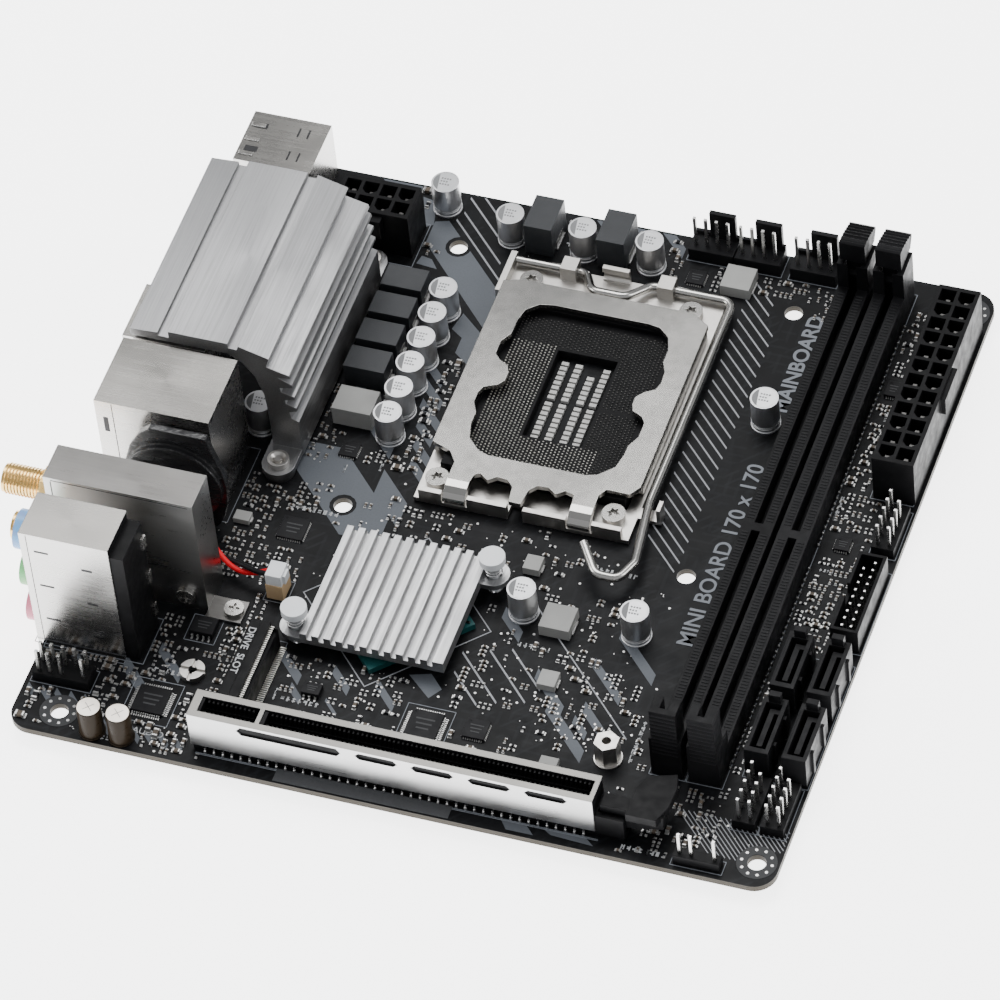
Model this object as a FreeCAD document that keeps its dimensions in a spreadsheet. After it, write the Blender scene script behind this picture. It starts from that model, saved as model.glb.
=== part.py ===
import FreeCAD, Part
import Sketcher
import math
import os
from FreeCAD import Placement, Rotation, Vector

# Mini-ITX main board. Millimetres; X runs along the expansion slot, Y along the memory slots,
# Z up. The origin is the centre of the board's upper face.

doc = FreeCAD.newDocument("main_board")
sheet = doc.addObject("Spreadsheet::Sheet", "sizes")

SIZES = {
    "board_side": 170.0,
    "board_thick": 1.57,
    "board_corner": 5.0,
    "mount_radius": 2.0,
    "cooler_radius": 2.05,
    "socket_wide": 42.0,
    "socket_deep": 50.5,
    "socket_rim": 4.0,
    "contact_level": 2.6,
    "frame_thick": 1.2,
    "plate_thick": 1.2,
    "wire_radius": 1.0,
    "heatsink_long": 51.9,
    "can_radius": 3.15,
    "can_tall": 8.0,
    "choke_wide": 9.5,
    "choke_deep": 6.3,
    "choke_tall": 6.2,
    "tall_choke_wide": 6.5,
    "tall_choke_deep": 9.6,
    "tall_choke_tall": 8.7,
    "memory_wide": 6.95,
    "memory_tall": 7.0,
    "memory_tower": 20.5,
    "memory_groove": 1.9,
    "slot_long": 89.2,
    "slot_tall": 11.0,
    "shield_wall": 0.3,
    "power_tall": 12.8,
    "power_pitch": 4.2,
    "power_cell": 3.4,
    "pin_side": 0.64,
    "pin_pitch": 2.54,
    "header_tall": 2.54,
    "drive_long": 15.0,
    "drive_wide": 5.3,
    "drive_tall": 8.5,
    "port_tall": 15.3,
    "stack_tall": 30.5,
    "jack_tall": 35.4,
    "radio_tall": 34.2,
    "antenna_radius": 3.175,
    "lead_radius": 0.6,
}
for row, (alias, value) in enumerate(SIZES.items(), start=1):
    sheet.set("A%d" % row, alias)
    sheet.set("B%d" % row, str(value))
    sheet.setAlias("B%d" % row, alias)
doc.recompute()

NODES = []


def val(size):
    """The value of a named size, or the number itself."""
    return SIZES[size] if isinstance(size, str) else float(size)


def bind(obj, prop, size):
    """Set a length, and tie it to the sheet when it is a named size."""
    setattr(obj, prop, val(size))
    if isinstance(size, str):
        obj.setExpression(prop, "sizes." + size)


def box(name, size, low, turn=0.0):
    """A block from its low corner, turned about Z through that corner."""
    part = doc.addObject("Part::Box", name)
    for prop, one in zip(("Length", "Width", "Height"), size):
        bind(part, prop, one)
    part.Placement = Placement(Vector(*low), Rotation(Vector(0, 0, 1), turn))
    return part


def rod(name, radius, height, base, axis=(0, 0, 1)):
    """A cylinder that starts at base and runs along axis."""
    part = doc.addObject("Part::Cylinder", name)
    bind(part, "Radius", radius)
    bind(part, "Height", height)
    part.Placement = Placement(Vector(*base), Rotation(Vector(0, 0, 1), Vector(*axis)))
    return part


def cone(name, low_radius, high_radius, height, base, axis=(0, 0, 1)):
    part = doc.addObject("Part::Cone", name)
    part.Radius1 = low_radius
    part.Radius2 = high_radius
    part.Height = height
    part.Placement = Placement(Vector(*base), Rotation(Vector(0, 0, 1), Vector(*axis)))
    return part


def prism(name, outline, low, height, plane="xy"):
    """An outline swept straight: xy up Z, xz along +Y, yz along +X."""
    wire = doc.addObject("Part::Polygon", name + "_outline")
    place = {
        "xy": lambda u, v: Vector(u, v, low),
        "xz": lambda u, v: Vector(u, low, v),
        "yz": lambda u, v: Vector(low, u, v),
    }[plane]
    wire.Nodes = [place(u, v) for u, v in outline]
    wire.Close = True
    part = doc.addObject("Part::Extrusion", name)
    part.Base = wire
    part.Dir = {"xy": Vector(0, 0, 1), "xz": Vector(0, 1, 0), "yz": Vector(1, 0, 0)}[plane]
    part.DirMode = "Custom"
    part.Solid = True
    bind(part, "LengthFwd", height)
    return part


def fuse(name, parts):
    joined = doc.addObject("Part::MultiFuse", name)
    joined.Shapes = parts
    return joined


def cut(name, base, tools):
    """The base less its tools."""
    if isinstance(tools, list):
        tools = tools[0] if len(tools) == 1 else group(name + "_tools", tools)
    less = doc.addObject("Part::Cut", name)
    less.Base = base
    less.Tool = tools
    return less


def group(name, parts):
    """Several separate solids as one object."""
    many = doc.addObject("Part::Compound", name)
    many.Links = parts
    return many


def node(name, obj):
    """Mark an object as a finished sub-part."""
    obj.Label = name
    NODES.append(obj)
    return obj


# Sketch based bodies -----------------------------------------------------------------

def new_body(name):
    body = doc.addObject("PartDesign::Body", name)
    return body


def sketch_on(body, name, plane="XY_Plane", offset=0.0):
    sketch = body.newObject("Sketcher::SketchObject", name)
    origin = [item for item in body.Origin.OriginFeatures if item.Role == plane][0]
    sketch.AttachmentSupport = [(origin, "")]
    sketch.MapMode = "FlatFace"
    sketch.AttachmentOffset = Placement(Vector(0, 0, offset), Rotation())
    return sketch


def draw_polygon(sketch, points):
    """A closed run of straight lines."""
    first = sketch.GeometryCount
    count = len(points)
    for index in range(count):
        here = Vector(points[index][0], points[index][1], 0)
        there = Vector(points[(index + 1) % count][0], points[(index + 1) % count][1], 0)
        sketch.addGeometry(Part.LineSegment(here, there), False)
    for index in range(count):
        following = first + (index + 1) % count
        sketch.addConstraint(Sketcher.Constraint("Coincident", first + index, 2, following, 1))


def draw_rectangle(sketch, low, wide, deep):
    """A rectangle from its low corner, with its sides tied to the sheet when named."""
    u, v = low
    first = sketch.GeometryCount
    draw_polygon(sketch, [(u, v), (u + val(wide), v), (u + val(wide), v + val(deep)), (u, v + val(deep))])
    for index, kind in enumerate(("Horizontal", "Vertical", "Horizontal", "Vertical")):
        sketch.addConstraint(Sketcher.Constraint(kind, first + index))
    across = sketch.addConstraint(Sketcher.Constraint("DistanceX", first, 1, first, 2, val(wide)))
    along = sketch.addConstraint(Sketcher.Constraint("DistanceY", first + 1, 1, first + 1, 2, val(deep)))
    for index, size in ((across, wide), (along, deep)):
        if isinstance(size, str):
            sketch.setExpression("Constraints[%d]" % index, "sizes." + size)


def draw_circle(sketch, centre, radius):
    index = sketch.addGeometry(Part.Circle(Vector(centre[0], centre[1], 0), Vector(0, 0, 1), val(radius)), False)
    hold = sketch.addConstraint(Sketcher.Constraint("Radius", index, val(radius)))
    if isinstance(radius, str):
        sketch.setExpression("Constraints[%d]" % hold, "sizes." + radius)


def pad(body, name, sketch, length, back=False):
    feature = body.newObject("PartDesign::Pad", name)
    feature.Profile = sketch
    bind(feature, "Length", length)
    feature.Reversed = back
    body.Tip = feature
    return feature


def pocket(body, name, sketch, depth=None, back=False):
    """A cut of the given depth, or right through both ways."""
    feature = body.newObject("PartDesign::Pocket", name)
    feature.Profile = sketch
    if depth is None:
        feature.Type = "ThroughAll"
        feature.Midplane = True
    else:
        bind(feature, "Length", depth)
        feature.Reversed = back
    body.Tip = feature
    return feature


def repeat(body, name, feature, axis, span, count):
    """A straight pattern of one feature along an origin axis."""
    pattern = body.newObject("PartDesign::LinearPattern", name)
    pattern.Originals = [feature]
    line = [item for item in body.Origin.OriginFeatures if item.Role == axis][0]
    pattern.Direction = (line, [""])
    pattern.Length = span
    pattern.Occurrences = count
    body.Tip = pattern
    return pattern


# Circuit board -----------------------------------------------------------------------

HALF = SIZES["board_side"] / 2
THICK = SIZES["board_thick"]
SOCKET = (3.6, 30.06)
CHIPSET = (-14.2, -34.3)
MOUNTS = [(-74.84, -78.65), (80.10, -78.65), (-51.98, 78.83), (80.10, 78.83)]
COOLER = [(SOCKET[0] + sx * 39.0, SOCKET[1] + sy * 39.0) for sx in (-1, 1) for sy in (-1, 1)]
FRAME_SCREWS = [(-17.0, 1.4), (23.1, 1.4), (-15.4, 61.2), (21.6, 61.2)]
HEATSINK_SCREWS = [(-51.9, -3.3), (-51.9, 57.6)]
PUSH_PINS = {"left": (-32.4, -46.4), "right": (4.0, -22.2)}

board = new_body("board")
outline = sketch_on(board, "board_outline", offset=-THICK)
draw_rectangle(outline, (-HALF, -HALF), "board_side", "board_side")
slab = pad(board, "board_pad", outline, "board_thick")
doc.recompute()
upright = [
    "Edge%d" % (index + 1)
    for index, edge in enumerate(slab.Shape.Edges)
    if abs(edge.tangentAt(edge.FirstParameter).z) > 0.9
]
rounding = board.newObject("PartDesign::Fillet", "board_corners")
rounding.Base = (slab, upright)
bind(rounding, "Radius", "board_corner")
board.Tip = rounding
holes = sketch_on(board, "board_holes")
for place in MOUNTS:
    draw_circle(holes, place, "mount_radius")
for place in COOLER:
    draw_circle(holes, place, "cooler_radius")
for place in FRAME_SCREWS:
    draw_circle(holes, place, 1.8)
for place in HEATSINK_SCREWS:
    draw_circle(holes, place, 1.6)
for place in PUSH_PINS.values():
    draw_circle(holes, place, 1.7)
pocket(board, "board_hole_cut", holes)
node("pcb", board)


# Processor socket --------------------------------------------------------------------

SX, SY = SOCKET
socket = new_body("socket")
base = sketch_on(socket, "socket_outline")
draw_rectangle(base, (SX - 21.0, SY - 25.25), "socket_wide", "socket_deep")
pad(socket, "socket_pad", base, "socket_rim")
inner = sketch_on(socket, "socket_inner", offset=SIZES["socket_rim"])
draw_rectangle(inner, (SX - 18.95, SY - 22.7), 37.9, 45.4)
pocket(socket, "socket_seat", inner, SIZES["socket_rim"] - SIZES["contact_level"])
window = sketch_on(socket, "socket_window")
draw_rectangle(window, (SX - 6.85, SY - 12.1), 13.7, 25.4)
pocket(socket, "socket_opening", window)
ends = sketch_on(socket, "socket_finger_gaps", offset=SIZES["socket_rim"])
draw_rectangle(ends, (SX - 26.0, SY - 5.0), 8.0, 10.0)
draw_rectangle(ends, (SX + 18.0, SY - 5.0), 8.0, 10.0)
pocket(socket, "socket_finger_cut", ends, 1.2)
node("cpu_socket_body", socket)

ceramics = []
for column, (left, rows) in enumerate(((-5.6, 16), (-2.4, 16), (1.1, 14), (4.0, 16))):
    for row in range(rows):
        low = (SX + left, SY - 11.0 + 1.42 * row + (0.6 if row > 7 else 0.0), 0.0)
        ceramics.append(box("socket_cap_%d_%02d" % (column, row), (1.6, 0.95, 0.85), low))
node("socket_capacitors", group("socket_caps", ceramics))


# Socket frame, load plate and lever ----------------------------------------------------

HINGE_Y, HINGE_Z = -3.2, 2.75
PIVOT_Y, PIVOT_Z = 66.1, 3.1
TABS = [(-14.0, 5.0), (14.3, 5.0)]
TONGUE = (0.9, 2.8)

flat = box("frame_flat", (48.8, 71.4, "frame_thick"), (-20.8, -3.9, 0.3))
hollow = box("frame_hollow", (43.0, 51.5, 3.0), (SX - 21.5, SY - 25.75, -0.5))
front_lip = box("frame_front_lip", (46.0, 1.2, 3.2), (-19.6, -3.9, 1.0))
left_wing = box("frame_left_wing", (1.4, 12.0, 4.0), (-22.0, 55.5, 0.3))
rear_tab = box("frame_rear_tab", (6.2, 1.1, 4.6), (-0.5, 66.4, 1.0))
side_arm = box("frame_hook_arm", (5.4, 3.0, 0.9), (27.8, 2.7, 0.6))
side_lug = box("frame_hook_lug", (0.9, 3.0, 4.6), (32.3, 2.7, 0.6))
loops = []
for index, left in enumerate((-9.7, 12.8)):
    block = box("loop_block_%d" % index, (3.6, 3.8, 4.5), (left, PIVOT_Y - 1.9, 0.9))
    crown = rod("loop_crown_%d" % index, 1.9, 3.6, (left, PIVOT_Y, PIVOT_Z + 0.3), (1, 0, 0))
    loops.extend([block, crown])
solid = fuse("frame_solid", [flat, front_lip, left_wing, rear_tab, side_arm, side_lug] + loops)
bores = [rod("loop_bore", 1.2, 40.0, (-15.0, PIVOT_Y, PIVOT_Z), (1, 0, 0))]
for index, (left, wide) in enumerate(TABS):
    bores.append(box("tab_slot_%d" % index, (wide + 0.8, 1.8, 4.0), (left - 0.4, -4.2, 1.45)))
bores.append(box("tongue_slot", (TONGUE[1] + 0.8, 4.6, 6.0), (TONGUE[0] - 0.4, -5.0, -1.0)))
for index, place in enumerate(FRAME_SCREWS):
    bores.append(rod("frame_screw_hole_%d" % index, 1.8, 3.0, (place[0], place[1], -0.5)))
node("ilm_frame", cut("frame", solid, [hollow] + bores))

plate = new_body("plate")
edge = sketch_on(plate, "plate_outline", offset=4.4)
draw_polygon(edge, [
    (-20.5, 9.0), (-20.5, 57.5), (-16.5, 58.7), (23.0, 58.7), (27.3, 56.0), (27.3, 8.0), (25.6, 5.4),
    (20.4, 5.4), (19.3, 3.6), (19.3, -0.2), (14.3, -0.2), (14.0, 2.2), (12.0, 2.8), (10.2, 1.4),
    (8.0, 2.8), (5.6, 2.6), (4.2, 1.0), (3.7, -3.2), (0.9, -3.2), (0.4, 1.0), (-1.2, 2.6),
    (-3.6, 2.8), (-5.4, 1.4), (-7.4, 2.8), (-8.6, 2.2), (-9.0, -0.2), (-14.0, -0.2), (-14.0, 4.6),
    (-16.0, 7.4),
])
draw_polygon(edge, [
    (SX - 17.6, 16.0), (SX - 16.6, 12.0), (SX - 13.6, 9.0), (SX - 11.0, 8.2), (SX + 11.0, 8.2),
    (SX + 13.6, 9.0), (SX + 16.6, 12.0), (SX + 17.4, 16.0), (SX + 17.4, 18.4), (SX + 18.8, 21.4),
    (SX + 18.8, 25.6), (SX + 17.6, 27.2), (SX + 15.2, 28.4), (SX + 14.6, 30.2), (SX + 14.6, 32.2),
    (SX + 16.0, 34.0), (SX + 18.2, 35.4), (SX + 18.8, 37.4), (SX + 18.6, 40.6), (SX + 17.4, 43.4),
    (SX + 17.4, 47.0), (SX + 16.2, 50.6), (SX + 13.6, 52.8), (SX + 11.0, 53.2), (SX - 11.0, 53.2),
    (SX - 14.0, 52.6), (SX - 16.6, 50.4), (SX - 17.4, 47.0), (SX - 17.4, 43.0), (SX - 18.9, 40.4),
    (SX - 18.9, 36.6), (SX - 17.6, 35.2), (SX - 15.2, 33.8), (SX - 14.4, 32.0), (SX - 14.4, 29.6),
    (SX - 15.6, 28.0), (SX - 18.4, 26.6), (SX - 19.0, 25.0), (SX - 19.0, 22.0), (SX - 17.6, 19.4),
])
pad(plate, "plate_pad", edge, "plate_thick")
flanges = sketch_on(plate, "plate_flanges", offset=2.0)
draw_rectangle(flanges, (-20.5, 9.5), 1.1, 47.0)
draw_rectangle(flanges, (26.2, 9.0), 1.1, 46.0)
pad(plate, "plate_flange_pad", flanges, 2.6)
tabs = sketch_on(plate, "plate_tabs", "YZ_Plane", TABS[0][0])
TAB_SIDE = [
    (-0.1, 4.4), (-1.4, 3.5), (-2.5, 2.0), (-3.2, 1.65), (-4.0, 2.0), (-4.3, 2.75), (-4.1, 3.5),
    (-3.2, 4.4), (-1.9, 5.2), (-0.1, 5.6),
]
draw_polygon(tabs, TAB_SIDE)
pad(plate, "plate_tab_left", tabs, TABS[0][1])
tabs_right = sketch_on(plate, "plate_tabs_right", "YZ_Plane", TABS[1][0])
draw_polygon(tabs_right, TAB_SIDE)
pad(plate, "plate_tab_right", tabs_right, TABS[1][1])
for side, (left, wide) in zip(("left", "right"), TABS):
    curl = sketch_on(plate, "plate_curl_" + side, "YZ_Plane", left)
    draw_circle(curl, (HINGE_Y, HINGE_Z), 1.12)
    pad(plate, "plate_curl_pad_" + side, curl, wide)
node("ilm_load_plate", plate)


def bent_wire(name, points, radius, rounding):
    """A round wire along straight runs joined by tangent arcs; also gives its length."""
    points = [Vector(*point) for point in points]
    edges = []
    radii = []
    start = points[0]
    for index in range(1, len(points) - 1):
        before = points[index] - points[index - 1]
        after = points[index + 1] - points[index]
        turn = before.getAngle(after)
        reach = min(before.Length, after.Length) * 0.45
        bend = reach / math.tan(turn / 2)
        if rounding is not None and bend > rounding:
            bend = rounding
            reach = bend * math.tan(turn / 2)
        radii.append(round(bend, 2))
        inward = points[index] - before.normalize() * reach
        outward = points[index] + after.normalize() * reach
        middle = (inward + outward) * 0.5
        towards = (middle - points[index]).normalize()
        corner = points[index] + towards * (bend / math.cos(turn / 2) - bend)
        edges.append(Part.LineSegment(start, inward).toShape())
        edges.append(Part.Arc(inward, corner, outward).toShape())
        start = outward
    edges.append(Part.LineSegment(start, points[-1]).toShape())
    path = Part.Wire(edges)
    direction = (points[1] - points[0]).normalize()
    section = Part.Wire([Part.Circle(points[0], direction, radius).toShape()])
    tube = path.makePipeShell([section], True, True)
    wire = doc.addObject("Part::Feature", name)
    wire.Shape = tube
    print("%s: length %.2f, bend radii %s, volume %.2f against %.2f" % (
        name, path.Length, radii, tube.Volume, math.pi * radius ** 2 * path.Length))
    return wire


LEVER_ROUTE = [
    (-20.4, PIVOT_Y, PIVOT_Z), (-4.2, PIVOT_Y, PIVOT_Z), (-0.9, 60.0, 4.9), (6.9, 60.0, 4.9),
    (11.0, PIVOT_Y, PIVOT_Z), (29.8, PIVOT_Y, PIVOT_Z), (29.8, 6.0, 3.6), (32.2, -11.5, 4.4),
    (30.2, -17.2, 4.8), (25.2, -17.4, 5.2), (20.3, -10.2, 5.8),
]
node("ilm_lever", bent_wire("lever", LEVER_ROUTE, SIZES["wire_radius"], 2.6))

screws = []
for index, (px, py) in enumerate(FRAME_SCREWS):
    head = rod("frame_head_%d" % index, 2.6, 1.9, (px, py, 1.5))
    shank = rod("frame_shank_%d" % index, 1.55, 5.2, (px, py, -3.7))
    recess = [
        prism("frame_drive_%d_%d" % (index, arm), [
            (px + 1.5 * math.cos(math.radians(60 * step + 30 * arm)),
             py + 1.5 * math.sin(math.radians(60 * step + 30 * arm)))
            for step in (0, 2, 4)
        ], 2.5, 1.5)
        for arm in (0, 2)
    ]
    screws.append(cut("frame_screw_%d" % index, fuse("frame_screw_solid_%d" % index, [head, shank]), recess))
node("ilm_screws", group("frame_screws", screws))

back = new_body("back")
back_edge = sketch_on(back, "back_outline", offset=-3.75)
draw_rectangle(back_edge, (-21.0, -2.6), 48.2, 67.8)
draw_rectangle(back_edge, (-11.0, 9.0), 28.6, 43.0)
for place in FRAME_SCREWS:
    draw_circle(back_edge, place, 1.56)
pad(back, "back_pad", back_edge, 2.1)
node("ilm_backplate", back)


# Power stage ---------------------------------------------------------------------------

PROFILE = [
    (-84.8, 30.2), (-84.8, 32.1), (-78.4, 32.5), (-78.4, 31.5), (-75.9, 31.5), (-75.9, 33.4),
    (-62.2, 33.4), (-62.2, 32.0), (-60.2, 32.0), (-59.8, 33.2), (-53.0, 31.0), (-53.9, 28.2),
    (-48.8, 26.8), (-48.6, 25.9), (-51.6, 25.5), (-48.4, 23.9), (-48.3, 23.0), (-51.4, 22.2),
    (-51.2, 20.9), (-48.2, 20.0), (-48.2, 19.1), (-50.6, 18.4), (-50.4, 17.3), (-48.1, 16.4),
    (-48.1, 15.5), (-49.9, 14.6), (-49.6, 12.7), (-48.0, 12.0), (-48.0, 1.5), (-54.9, 1.5),
    (-54.9, 13.0), (-55.3, 19.0), (-56.8, 24.4), (-59.4, 28.2), (-62.6, 30.2),
]
fins = new_body("fins")
profile = sketch_on(fins, "fin_profile", "XZ_Plane", -53.4)
draw_polygon(profile, PROFILE)
pad(fins, "fin_pad", profile, "heatsink_long")
ears = sketch_on(fins, "ear_outline", offset=1.5)
draw_rectangle(ears, (-55.65, HEATSINK_SCREWS[0][1]), 7.5, 7.0)
draw_rectangle(ears, (-55.65, 50.6), 7.5, 7.0)
pad(fins, "ear_pad", ears, 1.4)
tips = sketch_on(fins, "ear_tips", offset=1.5)
for place in HEATSINK_SCREWS:
    draw_circle(tips, place, 3.75)
pad(fins, "ear_tip_pad", tips, 1.4)
feet = sketch_on(fins, "ear_feet", offset=0.0)
for place in HEATSINK_SCREWS:
    draw_circle(feet, place, 3.4)
pad(fins, "ear_foot_pad", feet, 1.6)
drilled = sketch_on(fins, "ear_holes", offset=2.9)
for place in HEATSINK_SCREWS:
    draw_circle(drilled, place, 1.6)
pocket(fins, "ear_hole_cut", drilled, 2.9)
node("vrm_heatsink", fins)

screws = []
for index, (px, py) in enumerate(HEATSINK_SCREWS):
    head = rod("sink_head_%d" % index, 2.4, 1.5, (px, py, 2.9))
    shank = rod("sink_shank_%d" % index, 1.5, 5.6, (px, py, -2.4))
    dish = cone("sink_dish_%d" % index, 0.9, 2.0, 1.0, (px, py, 3.6))
    stud = rod("sink_stud_%d" % index, 0.8, 0.9, (px, py, 3.4))
    bowl = cut("sink_bowl_%d" % index, fuse("sink_body_%d" % index, [head, shank]), [dish])
    screws.append(fuse("sink_screw_%d" % index, [bowl, stud]))
node("vrm_heatsink_screws", group("sink_screws", screws))
node("vrm_thermal_pad", box("pad_strip", (6.0, 46.0, 0.5), (-54.5, 4.0, 1.0)))
node("vrm_mosfets", group("switches", [
    box("switch_%d" % index, (5.0, 6.0, 1.0), (-54.0, 5.0 + 7.4 * index, 0.0)) for index in range(6)
]))

node("vcore_chokes", group("square_chokes", [
    box("square_choke_%d" % index, ("choke_wide", "choke_deep", "choke_tall"), (-46.5, 24.2 + 8.3 * index, 0.0))
    for index in range(4)
]))
node("input_chokes", group("tall_chokes", [
    box("tall_choke_%d" % index, ("tall_choke_wide", "tall_choke_deep", "tall_choke_tall"), (left, 71.4, 0.0))
    for index, left in enumerate((-20.4, -3.5))
]))
PALE_CHOKES = [
    (-45.3, 12.8, 9.0, 7.0, 5.1), (25.3, 70.2, 6.7, 6.7, 3.0), (17.2, -32.4, 6.8, 6.8, 3.0),
    (8.5, -17.2, 3.7, 4.0, 2.0), (21.4, -46.6, 4.0, 4.2, 1.8), (-56.8, -19.6, 3.6, 2.6, 1.4),
    (28.6, -68.6, 3.9, 4.0, 1.8),
]
node("aux_chokes", group("pale_chokes", [
    box("pale_choke_%d" % index, (wide, deep, tall), (left, near, 0.0))
    for index, (left, near, wide, deep, tall) in enumerate(PALE_CHOKES)
]))

CANS = [(-31.7, 12.1 + 7.5 * step) for step in range(6)] + [
    (-41.5, 79.7), (-24.4, 74.3), (-7.5, 74.3), (8.1, 74.3), (46.3, 36.7), (37.5, -27.5),
    (12.3, -27.7), (-59.9, 7.8),
]
cans = []
for index, (px, py) in enumerate(CANS):
    seat = rod("can_seat_%02d" % index, 3.3, 0.5, (px, py, 0.0))
    shell = rod("can_shell_%02d" % index, "can_radius", "can_tall", (px, py, 0.5))
    neck = doc.addObject("Part::Torus", "can_neck_%02d" % index)
    neck.Radius1 = 3.35
    neck.Radius2 = 0.45
    neck.Placement = Placement(Vector(px, py, 1.7), Rotation())
    trimmed = cut("can_trim_%02d" % index, fuse("can_body_%02d" % index, [seat, shell]), [neck])
    cans.append(trimmed)
node("polymer_capacitors", group("cans", cans))
node("audio_capacitors", group("audio_cans", [
    fuse("audio_can_%d" % index, [
        rod("audio_seat_%d" % index, 2.9, 0.4, (px, -81.8, 0.0)),
        rod("audio_shell_%d" % index, 2.65, 7.6, (px, -81.8, 0.4)),
    ])
    for index, px in enumerate((-66.1, -59.5))
]))


# Chipset, its heatsink and push pins -----------------------------------------------------

CX, CY = CHIPSET
package = new_body("package")
substrate = sketch_on(package, "package_outline")
draw_polygon(substrate, [(CX - 17.8, CY), (CX, CY - 17.8), (CX + 17.8, CY), (CX, CY + 17.8)])
pad(package, "package_pad", substrate, 1.5)
die = sketch_on(package, "die_outline", offset=1.5)
draw_rectangle(die, (CX - 4.5, CY - 5.0), 9.0, 10.0)
pad(package, "die_pad", die, 0.6)
node("chipset", package)
node("chipset_thermal_pad", box("soft_pad", (12.0, 12.0, 0.9), (CX - 6.0, CY - 6.0, 2.1)))

RIDGES = 12
RIDGE_PITCH = 2.72
cooler = new_body("cooler")
slab_edge = sketch_on(cooler, "cooler_outline", offset=3.0)
draw_rectangle(slab_edge, (-30.3, -49.9), 32.3, 31.3)
pad(cooler, "cooler_pad", slab_edge, 3.0)
ridge_gap = sketch_on(cooler, "cooler_gap", offset=6.0)
draw_rectangle(ridge_gap, (-28.8, -51.0), 1.15, 34.0)
gap_cut = pocket(cooler, "cooler_gap_cut", ridge_gap, 1.6)
repeat(cooler, "cooler_gaps", gap_cut, "X_Axis", RIDGE_PITCH * (RIDGES - 2), RIDGES - 1)
for side, (px, py) in PUSH_PINS.items():
    inner = 1.0 if side == "left" else -1.0
    ear = sketch_on(cooler, "ear_plate_" + side, offset=3.0)
    draw_rectangle(ear, (px if inner > 0 else px - 3.0, py - 3.5), 3.0, 7.0)
    pad(cooler, "ear_plate_pad_" + side, ear, 1.4)
    ear_round = sketch_on(cooler, "ear_round_" + side, offset=3.0)
    draw_circle(ear_round, (px, py), 3.5)
    pad(cooler, "ear_round_pad_" + side, ear_round, 1.4)
    ear_hole = sketch_on(cooler, "ear_hole_" + side, offset=4.4)
    draw_circle(ear_hole, (px, py), 1.75)
    pocket(cooler, "ear_hole_cut_" + side, ear_hole, 1.4)
node("chipset_heatsink", cooler)


def coil(name, centre, low, high, ring, wire, turns):
    """An open coil spring standing on low: a wire bent round a helix of short runs."""
    steps = 12 * turns
    climb = high - low - 2 * wire
    points = []
    for step in range(steps + 1):
        angle = 2 * math.pi * turns * step / steps
        points.append((
            centre[0] + ring * math.cos(angle), centre[1] + ring * math.sin(angle),
            low + wire + climb * step / steps,
        ))
    return bent_wire(name, points, wire, None)


EAR_TOP = 4.4
HEAD_LOW = 8.4
for side, (px, py) in PUSH_PINS.items():
    head = rod("pin_head_" + side, 2.85, 1.8, (px, py, HEAD_LOW))
    stem = rod("pin_stem_" + side, 1.3, HEAD_LOW + 3.2, (px, py, -3.2))
    barb = cone("pin_barb_" + side, 1.0, 1.95, 1.4, (px, py, -3.2))
    slit = box("pin_slit_" + side, (0.5, 5.0, 3.4), (px - 0.25, py - 2.5, -3.4))
    crown = cut("pin_dish_" + side, fuse("pin_solid_" + side, [head, stem, barb]), [slit])
    node("push_pin_" + side, crown)
for side, (px, py) in PUSH_PINS.items():
    node("push_pin_spring_" + side, coil("spring_" + side, (px, py), EAR_TOP, HEAD_LOW, 1.7, 0.25, 4))


# Memory slots ----------------------------------------------------------------------------

MEMORY = {"a": 55.25, "b": 63.45}
NEAR_END = -61.7
FAR_END = 80.4
LATCH_PIVOT = (77.4, 3.4)
for side, mid in MEMORY.items():
    half = SIZES["memory_wide"] / 2
    bar = box("memory_bar_" + side, ("memory_wide", 139.0, "memory_tall"), (mid - half, -60.0, 0.0))
    tower = box("memory_tower_" + side, (5.8, 4.6, "memory_tower"), (mid - 2.9, NEAR_END, 0.0))
    shoe = box("memory_shoe_" + side, ("memory_wide", 6.4, 11.5), (mid - half, NEAR_END, 0.0))
    cheeks = box("memory_cheeks_" + side, ("memory_wide", 7.2, 14.4), (mid - half, FAR_END - 7.2, 0.0))
    body_solid = fuse("memory_solid_" + side, [bar, tower, shoe, cheeks])
    groove_half = SIZES["memory_groove"] / 2
    groove_far = box("memory_groove_far_" + side, ("memory_groove", 69.6, 5.0), (mid - groove_half, 3.7, 2.4))
    groove_near = box("memory_groove_near_" + side, ("memory_groove", 61.4, 5.0), (mid - groove_half, -59.9, 2.4))
    tower_guide = box("memory_guide_" + side, ("memory_groove", 3.2, 20.0), (mid - groove_half, -60.2, 2.4))
    latch_well = box("memory_well_" + side, (3.9, 7.4, 14.0), (mid - 1.95, FAR_END - 7.1, 0.9))
    guide_far = box("memory_guide_far_" + side, ("memory_groove", 3.0, 14.0), (mid - groove_half, 72.6, 2.4))
    pivot = rod("memory_pivot_hole_" + side, 0.9, 5.6, (mid - 2.8, LATCH_PIVOT[0], LATCH_PIVOT[1]), (1, 0, 0))
    tools = [groove_far, groove_near, tower_guide, latch_well, guide_far, pivot]
    node("dimm_slot_" + side, cut("memory_slot_" + side, body_solid, tools))
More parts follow.
